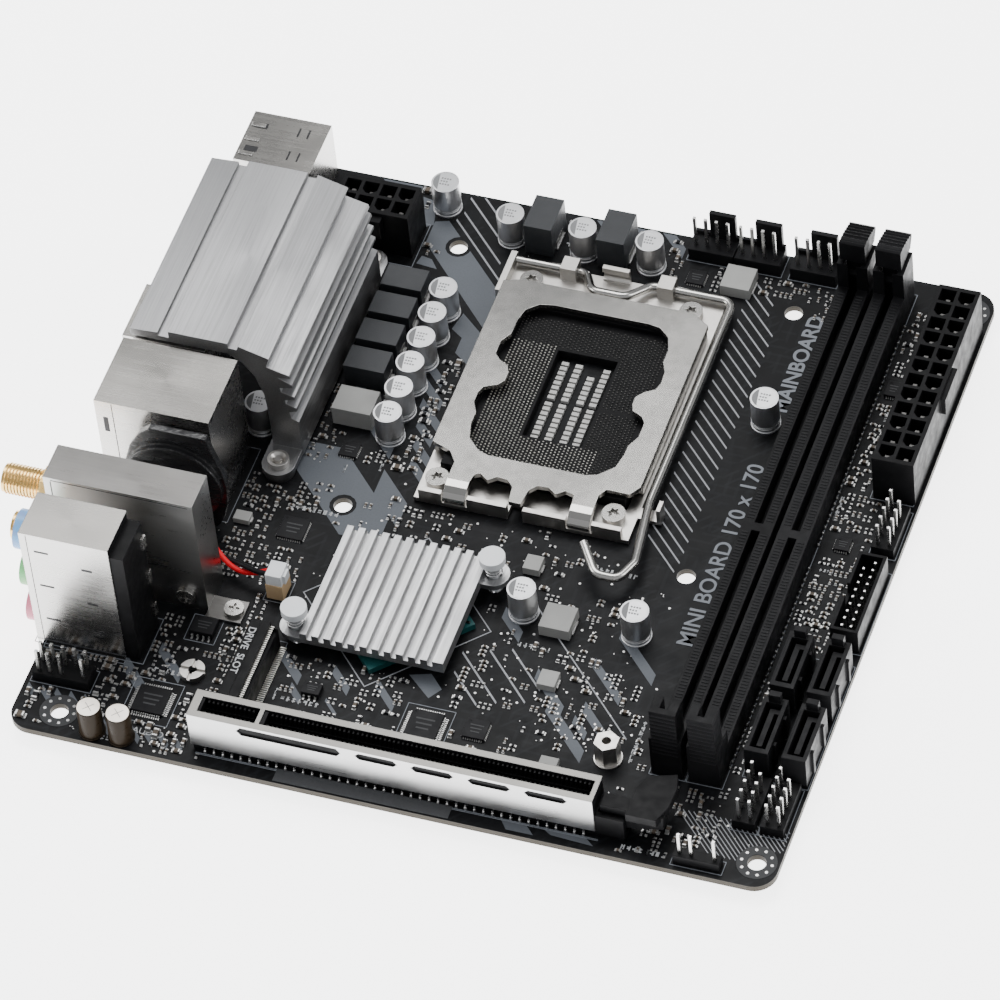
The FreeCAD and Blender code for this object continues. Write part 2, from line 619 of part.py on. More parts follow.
for side, mid in MEMORY.items():
    arm = prism("latch_arm_" + side, [
        (75.2, 1.6), (78.6, 1.6), (79.9, 3.4), (79.2, 10.0), (79.4, 15.2), (75.0, 15.2), (74.9, 11.4),
        (74.0, 10.8), (74.1, 10.0), (75.4, 9.6),
    ], mid - 1.65, 3.3, "yz")
    head = prism("latch_head_" + side, [
        (73.9, 15.2), (80.9, 15.2), (82.2, 17.6), (82.2, 18.4), (81.6, 18.8), (81.2, 18.5),
        (80.5, 19.3), (80.1, 19.0), (79.3, 19.7), (78.9, 19.4), (78.1, 20.1), (77.7, 19.8),
        (76.9, 20.4), (76.5, 20.1), (75.7, 20.6), (75.2, 20.4), (74.4, 20.7), (73.9, 20.4),
    ], mid - 2.9, 5.8, "yz")
    pins = rod("latch_pins_" + side, 0.8, 5.3, (mid - 2.65, LATCH_PIVOT[0], LATCH_PIVOT[1]), (1, 0, 0))
    node("dimm_latch_" + side, fuse("latch_" + side, [arm, head, pins]))


# Expansion slot --------------------------------------------------------------------------

SLOT_LEFT = -43.6
SLOT_MID = -77.25
SLOT_RIGHT = SLOT_LEFT + SIZES["slot_long"]
core = box("expansion_core", ("slot_long", 6.4, "slot_tall"), (SLOT_LEFT, SLOT_MID - 3.2, 0.0))
fork = box("expansion_fork", (6.6, 6.4, 6.4), (SLOT_RIGHT - 0.2, SLOT_MID - 3.2, 0.0))
grooves = [
    box("expansion_groove_short", (12.6, 1.9, 8.0), (SLOT_LEFT + 2.0, SLOT_MID - 0.95, 3.2)),
    box("expansion_groove_long", (72.8, 1.9, 8.0), (SLOT_LEFT + 16.2, SLOT_MID - 0.95, 3.2)),
    box("expansion_well_short", (12.6, 3.9, 2.6), (SLOT_LEFT + 2.0, SLOT_MID - 1.95, 8.6)),
    box("expansion_well_long", (71.8, 3.9, 2.6), (SLOT_LEFT + 16.2, SLOT_MID - 1.95, 8.6)),
    box("expansion_fork_gap", (6.6, 3.8, 6.0), (SLOT_RIGHT + 0.4, SLOT_MID - 1.9, 0.9)),
    rod("expansion_fork_bore", 1.0, 6.0, (SLOT_RIGHT + 4.0, SLOT_MID - 3.0, 3.6), (0, 1, 0)),
]
node("pcie_slot_body", cut("expansion_slot", fuse("expansion_solid", [core, fork]), grooves))

cover = new_body("cover")
skin = sketch_on(cover, "cover_outline", offset=1.6)
draw_rectangle(skin, (SLOT_LEFT - 0.45, SLOT_MID - 3.6), SIZES["slot_long"] + 0.5, 7.2)
pad(cover, "cover_pad", skin, 9.75)
room = sketch_on(cover, "cover_room", offset=1.6)
draw_rectangle(room, (SLOT_LEFT - 0.05, SLOT_MID - 3.25), SIZES["slot_long"] + 3.0, 6.5)
pocket(cover, "cover_room_cut", room, 9.45, back=True)
mouth = sketch_on(cover, "cover_mouth", offset=11.4)
draw_rectangle(mouth, (SLOT_LEFT + 1.4, SLOT_MID - 2.0), 12.9, 4.0)
draw_rectangle(mouth, (SLOT_LEFT + 15.3, SLOT_MID - 2.0), 72.9, 4.0)
pocket(cover, "cover_mouth_cut", mouth, 1.0)
WINDOWS = [(-33.0, 23.2, 2.4), (-6.6, 9.4, 1.9), (5.8, 9.4, 1.9), (18.3, 9.4, 1.9), (30.7, 9.4, 1.9)]
for index, (left, wide, tall) in enumerate(WINDOWS):
    hexagon = sketch_on(cover, "cover_window_%d" % index, "XZ_Plane", -(SLOT_MID - 3.9))
    top = 10.6
    draw_polygon(hexagon, [
        (left, top - tall / 2), (left + 0.9, top), (left + wide - 0.9, top), (left + wide, top - tall / 2),
        (left + wide - 0.9, top - tall), (left + 0.9, top - tall),
    ])
    pocket(cover, "cover_window_cut_%d" % index, hexagon, 0.8)
node("pcie_slot_shield", cover)

LATCH_AXIS = (SLOT_RIGHT + 4.0, 3.6)
stem = prism("release_stem", [
    (SLOT_RIGHT + 0.8, 4.6), (SLOT_RIGHT + 2.0, 2.6), (SLOT_RIGHT + 5.2, 2.4), (SLOT_RIGHT + 14.6, 4.6),
    (SLOT_RIGHT + 14.8, 8.4), (SLOT_RIGHT + 1.0, 8.6),
], SLOT_MID - 1.7, 3.4, "xz")
paddle = prism("release_paddle", [
    (SLOT_RIGHT + 7.0, SLOT_MID - 3.2), (SLOT_RIGHT + 13.6, SLOT_MID - 3.2), (SLOT_RIGHT + 15.2, SLOT_MID + 1.0),
    (SLOT_RIGHT + 15.4, SLOT_MID + 6.0), (SLOT_RIGHT + 14.4, SLOT_MID + 9.6), (SLOT_RIGHT + 8.4, SLOT_MID + 7.6),
    (SLOT_RIGHT + 7.0, SLOT_MID + 4.0),
], 7.0, 2.2)
axle = rod("release_axle", 0.85, 5.4, (SLOT_RIGHT + 4.0, SLOT_MID - 2.7, 3.6), (0, 1, 0))
node("pcie_slot_latch", fuse("release", [stem, paddle, axle]))


# Drive connector, stand-off and threaded nut ----------------------------------------------

M2_Y = -60.6
shell = box("card_shell", (5.8, 21.9, 7.6), (-41.0, M2_Y - 10.95, 0.0))
mouth_cut = box("card_mouth", (4.6, 20.2, 1.0), (-38.6, M2_Y - 10.1, 5.6))
lip_cut = box("card_lip", (2.4, 23.0, 1.4), (-36.6, M2_Y - 11.5, 6.6))
node("m2_connector", cut("card_connector", shell, [mouth_cut, lip_cut]))

standoff = new_body("standoff")
hexagon = sketch_on(standoff, "standoff_outline")
draw_polygon(hexagon, [
    (41.9 + 2.85 * math.cos(math.radians(30 + 60 * step)), M2_Y + 2.85 * math.sin(math.radians(30 + 60 * step)))
    for step in range(6)
])
pad(standoff, "standoff_pad", hexagon, 6.1)
thread = sketch_on(standoff, "standoff_bore", offset=6.1)
draw_circle(thread, (41.9, M2_Y), 1.0)
pocket(standoff, "standoff_bore_cut", thread, 5.0)
flange = sketch_on(standoff, "standoff_foot")
draw_circle(flange, (41.9, M2_Y), 3.1)
pad(standoff, "standoff_foot_pad", flange, 0.5)
node("m2_standoff", standoff)

NUT = (-50.8, -61.6)
nut_disc = rod("nut_disc", 2.75, 1.5, (NUT[0], NUT[1], 0.0))
nut_bore = rod("nut_bore", 0.95, 3.0, (NUT[0], NUT[1], -0.5))
slits = [
    box("nut_slit_x", (6.0, 0.7, 1.0), (NUT[0] - 3.0, NUT[1] - 0.35, 0.9)),
    box("nut_slit_y", (0.7, 6.0, 1.0), (NUT[0] - 0.35, NUT[1] - 3.0, 0.9)),
]
node("m2_nut", cut("nut", nut_disc, [nut_bore] + slits))


# Rear ports ------------------------------------------------------------------------------

WALL = SIZES["shield_wall"]

radio = new_body("radio")
outline = sketch_on(radio, "radio_outline")
draw_rectangle(outline, (-87.2, -44.6), 33.8, 9.3)
pad(radio, "radio_pad", outline, SIZES["radio_tall"])
room = sketch_on(radio, "radio_room")
draw_rectangle(room, (-86.8, -44.2), 33.0, 8.5)
pocket(radio, "radio_room_cut", room, SIZES["radio_tall"] - 0.4, back=True)
front = sketch_on(radio, "radio_front", "YZ_Plane", -87.5)
for height in (25.5, 9.8):
    draw_circle(front, (-40.0, height), 3.3)
pocket(radio, "radio_front_cut", front, 1.0, back=True)
side = sketch_on(radio, "radio_side", "XZ_Plane", 44.9)
draw_circle(side, (-57.8, 4.5), 1.2)
pocket(radio, "radio_side_cut", side, 1.0)
foot = sketch_on(radio, "radio_foot")
draw_rectangle(foot, (-53.41, -46.6), 8.0, 6.0)
pad(radio, "radio_foot_pad", foot, 0.8)
foot_hole = sketch_on(radio, "radio_foot_hole", offset=0.8)
draw_circle(foot_hole, (-47.8, -43.6), 1.3)
pocket(radio, "radio_foot_cut", foot_hole, 0.8)
node("wifi_shield", radio)

card = box("radio_card", (30.0, 0.8, 28.0), (-86.0, -37.2, 3.0))
cap = box("radio_cap", (17.0, 1.6, 14.0), (-80.0, -38.8, 10.0))
node("wifi_card", fuse("radio_module", [card, cap]))

screws = []
for name, base, axis in (("side", (-57.8, -44.6, 4.5), (0, -1, 0)), ("foot", (-47.8, -43.6, 0.8), (0, 0, 1))):
    head = rod("radio_screw_head_" + name, 2.2, 1.1, base, axis)
    tail = tuple(base[i] - axis[i] * 3.4 for i in range(3))
    shank = rod("radio_screw_shank_" + name, 1.1, 3.4, tail, axis)
    if name == "side":
        cross = [
            box("radio_cross_a", (2.4, 0.7, 0.5), (-59.0, -45.9, 4.25)),
            box("radio_cross_b", (0.5, 0.7, 2.4), (-58.05, -45.9, 3.3)),
        ]
    else:
        cross = [
            box("radio_cross_c", (2.4, 0.5, 0.7), (-49.0, -43.85, 1.4)),
            box("radio_cross_d", (0.5, 2.4, 0.7), (-48.05, -44.8, 1.4)),
        ]
    screws.append(cut("radio_screw_" + name, fuse("radio_screw_solid_" + name, [head, shank]), cross))
node("wifi_shield_screws", group("radio_screws", screws))

antennas = []
for index, height in enumerate((25.5, 9.8)):
    nut_points = [
        (-40.0 + 4.5 * math.cos(math.radians(60 * step)), height + 4.5 * math.sin(math.radians(60 * step)))
        for step in range(6)
    ]
    hexagon = prism("antenna_hex_%d" % index, nut_points, -89.4, 2.2, "yz")
    thread = rod("antenna_thread_%d" % index, "antenna_radius", 12.2, (-98.4, -40.0, height), (1, 0, 0))
    hollow = rod("antenna_hollow_%d" % index, 2.3, 3.6, (-98.6, -40.0, height), (1, 0, 0))
    contact = rod("antenna_contact_%d" % index, 0.5, 3.4, (-98.2, -40.0, height), (1, 0, 0))
    tube = cut("antenna_tube_%d" % index, fuse("antenna_solid_%d" % index, [hexagon, thread]), [hollow])
    antennas.append(fuse("antenna_%d" % index, [tube, contact]))
node("sma_connectors", group("antennas", antennas))

JACK_Y = -55.65
JACKS = (5.9, 17.6, 29.4)
tin = box("jack_tin", (20.2, 11.7, "jack_tall"), (-86.2, -61.5, 0.0))
tin_room = box("jack_tin_room", (21.0, 11.1, 35.1), (-85.9, -61.2, 0.0))
rings_holes = [rod("jack_hole_%d" % i, 4.45, 1.0, (-86.6, JACK_Y, z), (1, 0, 0)) for i, z in enumerate(JACKS)]
node("audio_jack_shell", cut("jack_shell", tin, [tin_room] + rings_holes))

core = box("jack_core", (19.8, 11.0, 35.0), (-85.85, -61.15, 0.0))
back = box("jack_back", (4.0, 11.0, 33.0), (-66.9, -61.15, 0.0))
well = box("jack_well", (14.0, 6.2, 29.8), (-86.2, JACK_Y - 3.1, 2.75))
clips = [box("jack_clip_%d" % i, (0.7, 1.6, 3.4), (-62.9, -52.2, z - 1.7)) for i, z in enumerate((6.0, 16.8, 27.9))]
node("audio_jack_body", cut("jack_block", fuse("jack_solid", [core, back]), [well]))

rings = []
for index, z in enumerate(JACKS):
    flange = rod("ring_flange_%d" % index, 4.35, 2.6, (-88.8, JACK_Y, z), (1, 0, 0))
    sleeve = rod("ring_sleeve_%d" % index, 3.0, 12.8, (-88.8, JACK_Y, z), (1, 0, 0))
    bore = rod("ring_bore_%d" % index, 1.8, 14.0, (-89.4, JACK_Y, z), (1, 0, 0))
    rings.append(cut("ring_%d" % index, fuse("ring_solid_%d" % index, [flange, sleeve]), [bore]))
node("audio_jack_rings", group("rings", rings))
node("audio_jack_clips", group("clips", clips))


def port_stack(name, low, wide, deep, tall, ports):
    """A folded metal shell open at the ports, and its plastic insert with tongues.

    Each port is (centre_y, centre_z, width, height, depth, tongue thickness, tongue offset).
    """
    x, y = low
    outer = box(name + "_outer", (deep, wide, tall), (x, y, 0.0))
    inner = box(name + "_inner", (deep - 2 * WALL, wide - 2 * WALL, tall - WALL), (x + WALL, y + WALL, 0.0))
    holes = []
    filling = box(name + "_filling", (deep - 2.4, wide - 2 * WALL - 0.1, tall - WALL - 0.1),
                  (x + 0.35, y + WALL + 0.05, 0.0))
    cavities = []
    tongues = []
    for index, (py, pz, pw, ph, pd, thick, lift) in enumerate(ports):
        low_y = py - pw / 2
        low_z = pz - ph / 2
        holes.append(box("%s_hole_%d" % (name, index), (1.2, pw, ph), (x - 0.5, low_y, low_z)))
        cavities.append(box("%s_cavity_%d" % (name, index), (pd + 1.0, pw, ph), (x - 0.6, low_y, low_z)))
        if thick:
            span = pw - 2.0
            tongues.append(box("%s_tongue_%d" % (name, index), (pd - 0.4, span, thick),
                               (x + 1.0, py - span / 2, pz + lift - thick / 2)))
    shell = cut(name + "_shell", outer, [inner] + holes)
    insert = cut(name + "_block", filling, cavities)
    if tongues:
        insert = fuse(name + "_insert", [insert] + tongues)
    return shell, insert


USB = (13.1, 5.3, 10.0, 1.9, 0.9)
VIDEO = (14.0, 4.6, 9.0, 1.2, 0.0)
NETWORK = (11.7, 8.0, 12.0, 0.0, 0.0)
lan_shell, lan_insert = port_stack("network", (-85.9, -18.6), 18.6, 26.3, SIZES["stack_tall"], [
    (-9.3, 4.6) + USB, (-9.3, 11.6) + USB, (-9.3, 22.6) + NETWORK,
])
clip_way = box("network_clip_way", (9.0, 6.0, 2.2), (-86.4, -12.3, 26.4))
node("lan_usb_shell", cut("network_tin", lan_shell, [clip_way]))
plastic_way = box("network_plastic_way", (9.0, 6.0, 2.2), (-86.4, -12.3, 26.4))
node("lan_usb_inserts", cut("network_plastic", lan_insert, [plastic_way]))

usb_far, usb_far_insert = port_stack("usb_far", (-87.3, 68.7), 15.05, 18.2, SIZES["port_tall"], [
    (76.2, 4.5) + USB, (76.2, 11.3) + USB,
])
usb_mid, usb_mid_insert = port_stack("usb_mid", (-87.3, 44.0), 15.05, 18.2, SIZES["port_tall"], [
    (51.5, 4.5) + USB, (51.5, 11.3) + USB,
])
video, video_insert = port_stack("video", (-87.3, 2.2), 15.4, 19.0, 28.4, [
    (9.9, 6.0) + VIDEO, (9.9, 20.5) + VIDEO,
])
node("rear_port_shells", group("port_shells", [usb_far, usb_mid, video]))
node("rear_port_inserts", group("port_inserts", [usb_far_insert, usb_mid_insert, video_insert]))


# Power connectors ------------------------------------------------------------------------


def power_block(name, low, columns, rows, latch):
    """A keyed power socket block with its latch lug, and the low corner of its first cell."""
    wide = columns * 4.2 + 1.0
    deep = rows * 4.2 + 1.4
    parts = [box(name + "_block", (wide, deep, "power_tall"), (low[0], low[1], 0.0))]
    parts.append(latch)
    cells = []
    for i in range(columns):
        for j in range(rows):
            cx = low[0] + 0.5 + 4.2 * (i + 0.5)
            cy = low[1] + 0.7 + 4.2 * (j + 0.5)
            tag = "%s_cell_%d_%d" % (name, i, j)
            if (i + j) % 2:
                cells.append(box(tag, (3.4, 3.4, 10.0), (cx - 1.7, cy - 1.7, 3.4)))
            else:
                cells.append(prism(tag, [
                    (cx - 1.7, cy - 0.6), (cx - 0.6, cy - 1.7), (cx + 0.6, cy - 1.7), (cx + 1.7, cy - 0.6),
                    (cx + 1.7, cy + 1.7), (cx - 1.7, cy + 1.7),
                ], 3.4, 10.0))
            PIN_SPOTS.append((cx, cy))
    return cut(name, fuse(name + "_solid", parts), cells)


PIN_SPOTS = []
eps_latch = prism("cpu_power_lug", [(-56.2, 63.3), (-56.2, 61.4), (-50.4, 61.4), (-50.4, 63.3)], 6.6, 5.2)
node("eps_power_connector", power_block("cpu_power", (-62.2, 63.2), 4, 2, eps_latch))
atx_latch = prism("main_power_lug", [(84.2, 8.2), (86.4, 10.2), (86.4, 11.2), (84.2, 12.0)], 43.0, 9.4, "xz")
main = power_block("main_power", (74.8, 22.6), 2, 12, box("main_power_rib", (1.2, 9.4, 4.6), (84.1, 43.0, 7.4)))
node("atx_power_connector", main)
blades = []
for index, (px, py) in enumerate(PIN_SPOTS):
    blades.append(box("power_pin_%d" % index, (1.0, 1.0, 7.4), (px - 0.5, py - 0.5, 3.4)))
node("power_pins", group("power_pins_all", blades))


# Pin headers -----------------------------------------------------------------------------

SQUARE = SIZES["pin_side"]
header_pins = []


def pins_at(name, spots, low, high, side=None):
    """Square pins standing at the given spots, also kept for the shared pin node."""
    side = SQUARE if side is None else side
    made = []
    for index, (px, py) in enumerate(spots):
        spot = (px - side / 2, py - side / 2, low)
        made.append(box("%s_pin_%d" % (name, index), (side, side, high - low), spot))
    header_pins.extend(made)
    return made


def grid(x, y, columns, rows, pitch=2.54, missing=()):
    """Spots of a regular block of pins, some left out."""
    spots = []
    for j in range(rows):
        for i in range(columns):
            if (i, j) not in missing:
                spots.append((x + pitch * i, y + pitch * j))
    return spots


fans = []
for index, left in enumerate((15.3, 26.0, 38.8)):
    base = box("fan_base_%d" % index, (10.4, 5.6, 3.2), (left, 78.7, 0.0))
    wall = box("fan_wall_%d" % index, (6.0, 1.1, 11.0), (left + 3.9, 83.2, 0.0))
    lip = box("fan_lip_%d" % index, (10.4, 0.8, 4.4), (left, 83.5, 0.0))
    stand = fuse("fan_stand_%d" % index, [base, wall, lip])
    spots = grid(left + 1.4, 80.5, 4, 1)
    fans.append(cut("fan_%d" % index, stand, pins_at("fan_%d" % index, spots, -2.6, 11.8)))
node("fan_headers", group("fan_bases", fans))

drives = []
for i, left in enumerate((70.9, 79.1)):
    for j, near in enumerate((-57.2, -39.1)):
        tag = "drive_%d_%d" % (i, j)
        case = box(tag + "_case", ("drive_wide", "drive_long", "drive_tall"), (left, near, 0.0))
        key = box(tag + "_key", (2.6, 1.4, 2.2), (left + 1.35, near + 13.6, SIZES["drive_tall"]))
        rib_a = box(tag + "_rib_a", (0.6, 1.0, 6.4), (left + 5.3, near + 3.4, 1.0))
        rib_b = box(tag + "_rib_b", (0.6, 1.0, 6.4), (left + 5.3, near + 10.6, 1.0))
        hollow = box(tag + "_hollow", (3.5, 12.2, 6.4), (left + 0.9, near + 1.2, 2.3))
        blade = box(tag + "_blade", (1.2, 10.2, 5.6), (left + 2.05, near + 2.2, 2.2))
        hook = box(tag + "_hook", (2.2, 1.2, 5.6), (left + 2.05, near + 11.2, 2.2))
        shell = cut(tag + "_shell", fuse(tag + "_solid", [case, key, rib_a, rib_b]), [hollow])
        drives.append(fuse(tag, [shell, blade, hook]))
node("sata_ports", group("drives", drives))

shroud = box("usb_shroud", (6.2, 21.9, 6.5), (78.1, -19.7, 0.0))
shroud_room = box("usb_shroud_room", (4.8, 20.5, 5.6), (78.8, -19.0, 1.2))
shroud_gate = box("usb_shroud_gate", (1.4, 3.6, 3.6), (77.6, -10.6, 3.4))
usb_spots = grid(80.2, -17.75, 2, 10, 2.0, missing=((0, 9),))
usb_pins = pins_at("usb", usb_spots, -2.4, 6.0, 0.5)
node("usb3_header", cut("usb_header", shroud, [shroud_room, shroud_gate] + usb_pins))

blocks = []
HEADERS = [
    ("front_panel", (78.93, 7.13), 2, 5, ((1, 4),)),
    ("usb_a", (72.33, -71.27), 2, 5, ((1, 4),)),
    ("usb_b", (78.53, -71.27), 2, 5, ((1, 4),)),
    ("audio", (-83.4, -72.0), 5, 2, ((3, 0),)),
    ("serial", (63.3, -83.3), 4, 1, ((2, 0),)),
]
for name, (x, y), columns, rows, missing in HEADERS:
    size = (2.54 * columns, 2.54 * rows, "header_tall")
    base = box(name + "_base", size, (x, y, 0.0))
    spots = grid(x + 1.27, y + 1.27, columns, rows, missing=missing)
    blocks.append(cut(name + "_block", base, pins_at(name, spots, -2.6, 8.5)))
node("pin_headers", group("header_blocks", blocks))
node("header_pins", group("all_header_pins", header_pins))


# Battery ---------------------------------------------------------------------------------

CELL = (-67.0, -22.2, 15.4)
disc = rod("cell_disc", 10.8, 4.6, (CELL[0], CELL[1] + 2.3, CELL[2]), (0, -1, 0))
wrap = prism("cell_wrap", [
    (CELL[0] - 7.8, 1.6), (CELL[0] + 7.8, 1.6), (CELL[0] + 9.6, 4.4), (CELL[0] + 11.0, 9.6),
    (CELL[0] + 11.5, 15.4), (CELL[0] + 10.9, 20.6), (CELL[0] + 9.4, 25.4), (CELL[0] + 8.2, 30.2),
    (CELL[0] - 4.6, 30.2), (CELL[0] - 7.4, 27.6), (CELL[0] - 9.8, 23.4), (CELL[0] - 11.2, 18.6),
    (CELL[0] - 11.5, 13.4), (CELL[0] - 10.6, 7.6),
], CELL[1] - 0.8, 1.6, "xz")
bump = box("cell_bump", (4.4, 2.8, 4.4), (CELL[0] - 6.4, CELL[1] - 4.9, 5.4))
node("battery", fuse("cell", [disc, wrap, bump]))

PLUG = (-40.6, -35.4)
node("battery_socket", box("lead_socket", (3.8, 4.8, 4.4), (PLUG[0] - 1.9, PLUG[1] - 2.4, 0.0)))
plug = box("lead_plug_body", (3.6, 4.4, 3.0), (PLUG[0] - 1.8, PLUG[1] - 2.2, 4.4))
rib = box("lead_plug_rib", (0.7, 2.4, 2.4), (PLUG[0] + 1.7, PLUG[1] - 1.2, 4.4))
node("battery_plug", fuse("lead_plug", [plug, rib]))

LEAD_FROM = (-69.6, -25.6, 7.4)
LEAD_OUT = (-61.0, -25.8, 6.4)
LEAD_IN = (-55.0, -35.6, 0.6)
LEAD_TO = (-41.6, -35.4, 6.0)
LEAD_STEPS = 12
LEAD_SWING = 0.8


def lead_route(phase):
    """Points of one lead of the twisted pair, wound round a smooth middle line."""
    points = []
    for step in range(LEAD_STEPS + 1):
        t = step / LEAD_STEPS
        weights = ((1 - t) ** 3, 3 * t * (1 - t) ** 2, 3 * t * t * (1 - t), t ** 3)
        anchors = (LEAD_FROM, LEAD_OUT, LEAD_IN, LEAD_TO)
        middle = [sum(w * p[i] for w, p in zip(weights, anchors)) for i in range(3)]
        turn = math.radians(phase + 52.5 * step)
        points.append((
            middle[0], middle[1] + LEAD_SWING * math.cos(turn), middle[2] + LEAD_SWING * math.sin(turn),
        ))
    return points


for colour, phase in (("red", 90.0), ("black", 270.0)):
    lead = bent_wire("lead_" + colour, lead_route(phase), SIZES["lead_radius"], None)
    node("battery_wire_" + colour, lead)


# Chip packages ---------------------------------------------------------------------------

PACKAGES = [
    ("sound", (-56.6, -71.2), (7.0, 7.0, 0.9)),
    ("network", (-43.4, -18.4), (6.0, 6.0, 0.8)),
    ("monitor", (1.7, -62.6), (7.0, 7.0, 1.1)),
    ("firmware", (-52.5, -49.6), (5.2, 4.4, 1.7)),
    ("memory_power", (-24.4, -59.8), (4.0, 3.0, 1.4)),
    ("switch", (12.7, -60.8), (5.0, 5.0, 0.9)),
    ("clock", (-39.0, 6.0), (4.0, 4.0, 0.8)),
    ("driver", (18.9, 73.2), (4.0, 4.0, 0.8)),
    ("regulator", (70.4, 52.5), (3.2, 4.2, 1.1)),
    ("guard", (72.5, 7.6), (3.4, 3.4, 0.9)),
]
chips = []
for name, (cx, cy), (wide, deep, tall) in PACKAGES:
    body_box = box("chip_" + name, (wide, deep, tall), (cx - wide / 2, cy - deep / 2, 0.0))
    dot = rod("chip_dot_" + name, 0.3, 0.2, (cx - wide / 2 + 0.8, cy + deep / 2 - 0.8, tall - 0.1))
    chips.append(cut("chip_marked_" + name, body_box, [dot]))
node("ic_packages", group("chips", chips))


# Checks and export -----------------------------------------------------------------------

doc.recompute()
for obj in doc.Objects:
    if any(word in ("Invalid", "Error") for word in obj.State):
        raise ValueError("%s is not valid: %s" % (obj.Name, obj.State))
for obj in NODES:
    if obj.Shape.isNull() or not obj.Shape.isValid():
        raise ValueError("%s has no good shape" % obj.Label)

os.makedirs("parts", exist_ok=True)
for obj in NODES:
    obj.Shape.exportStep("parts/%s.step" % obj.Label)
    print("%-24s %d solid(s), volume %.1f" % (obj.Label, len(obj.Shape.Solids), obj.Shape.Volume))
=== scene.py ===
import math
import random

import bmesh
import bpy
from mathutils import Matrix, Vector


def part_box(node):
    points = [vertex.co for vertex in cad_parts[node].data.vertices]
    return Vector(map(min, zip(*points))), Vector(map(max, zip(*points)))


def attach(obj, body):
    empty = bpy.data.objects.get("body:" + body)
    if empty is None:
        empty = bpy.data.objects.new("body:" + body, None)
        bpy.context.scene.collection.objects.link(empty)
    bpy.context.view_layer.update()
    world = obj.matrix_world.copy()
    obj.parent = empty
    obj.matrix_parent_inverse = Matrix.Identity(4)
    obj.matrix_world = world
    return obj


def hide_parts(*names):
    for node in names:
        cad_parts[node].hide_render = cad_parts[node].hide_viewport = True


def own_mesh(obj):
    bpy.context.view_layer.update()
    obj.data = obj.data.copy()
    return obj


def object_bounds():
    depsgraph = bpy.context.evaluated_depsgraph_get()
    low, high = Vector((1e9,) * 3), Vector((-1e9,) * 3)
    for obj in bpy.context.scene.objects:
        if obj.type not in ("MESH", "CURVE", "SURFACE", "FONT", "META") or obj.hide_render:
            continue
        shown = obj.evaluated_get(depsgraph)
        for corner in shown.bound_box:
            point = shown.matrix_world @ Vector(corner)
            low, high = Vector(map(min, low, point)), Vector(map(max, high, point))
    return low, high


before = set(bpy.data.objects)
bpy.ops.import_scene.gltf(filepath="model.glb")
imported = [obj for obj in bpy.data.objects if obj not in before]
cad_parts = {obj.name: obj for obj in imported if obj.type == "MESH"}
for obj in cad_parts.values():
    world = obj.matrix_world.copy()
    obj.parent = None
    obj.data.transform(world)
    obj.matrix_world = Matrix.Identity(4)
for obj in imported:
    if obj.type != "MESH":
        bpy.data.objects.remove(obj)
CAD_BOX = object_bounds()
MM = 0.001
BODY = "board"
rng = random.Random(11)


# ------------ materials

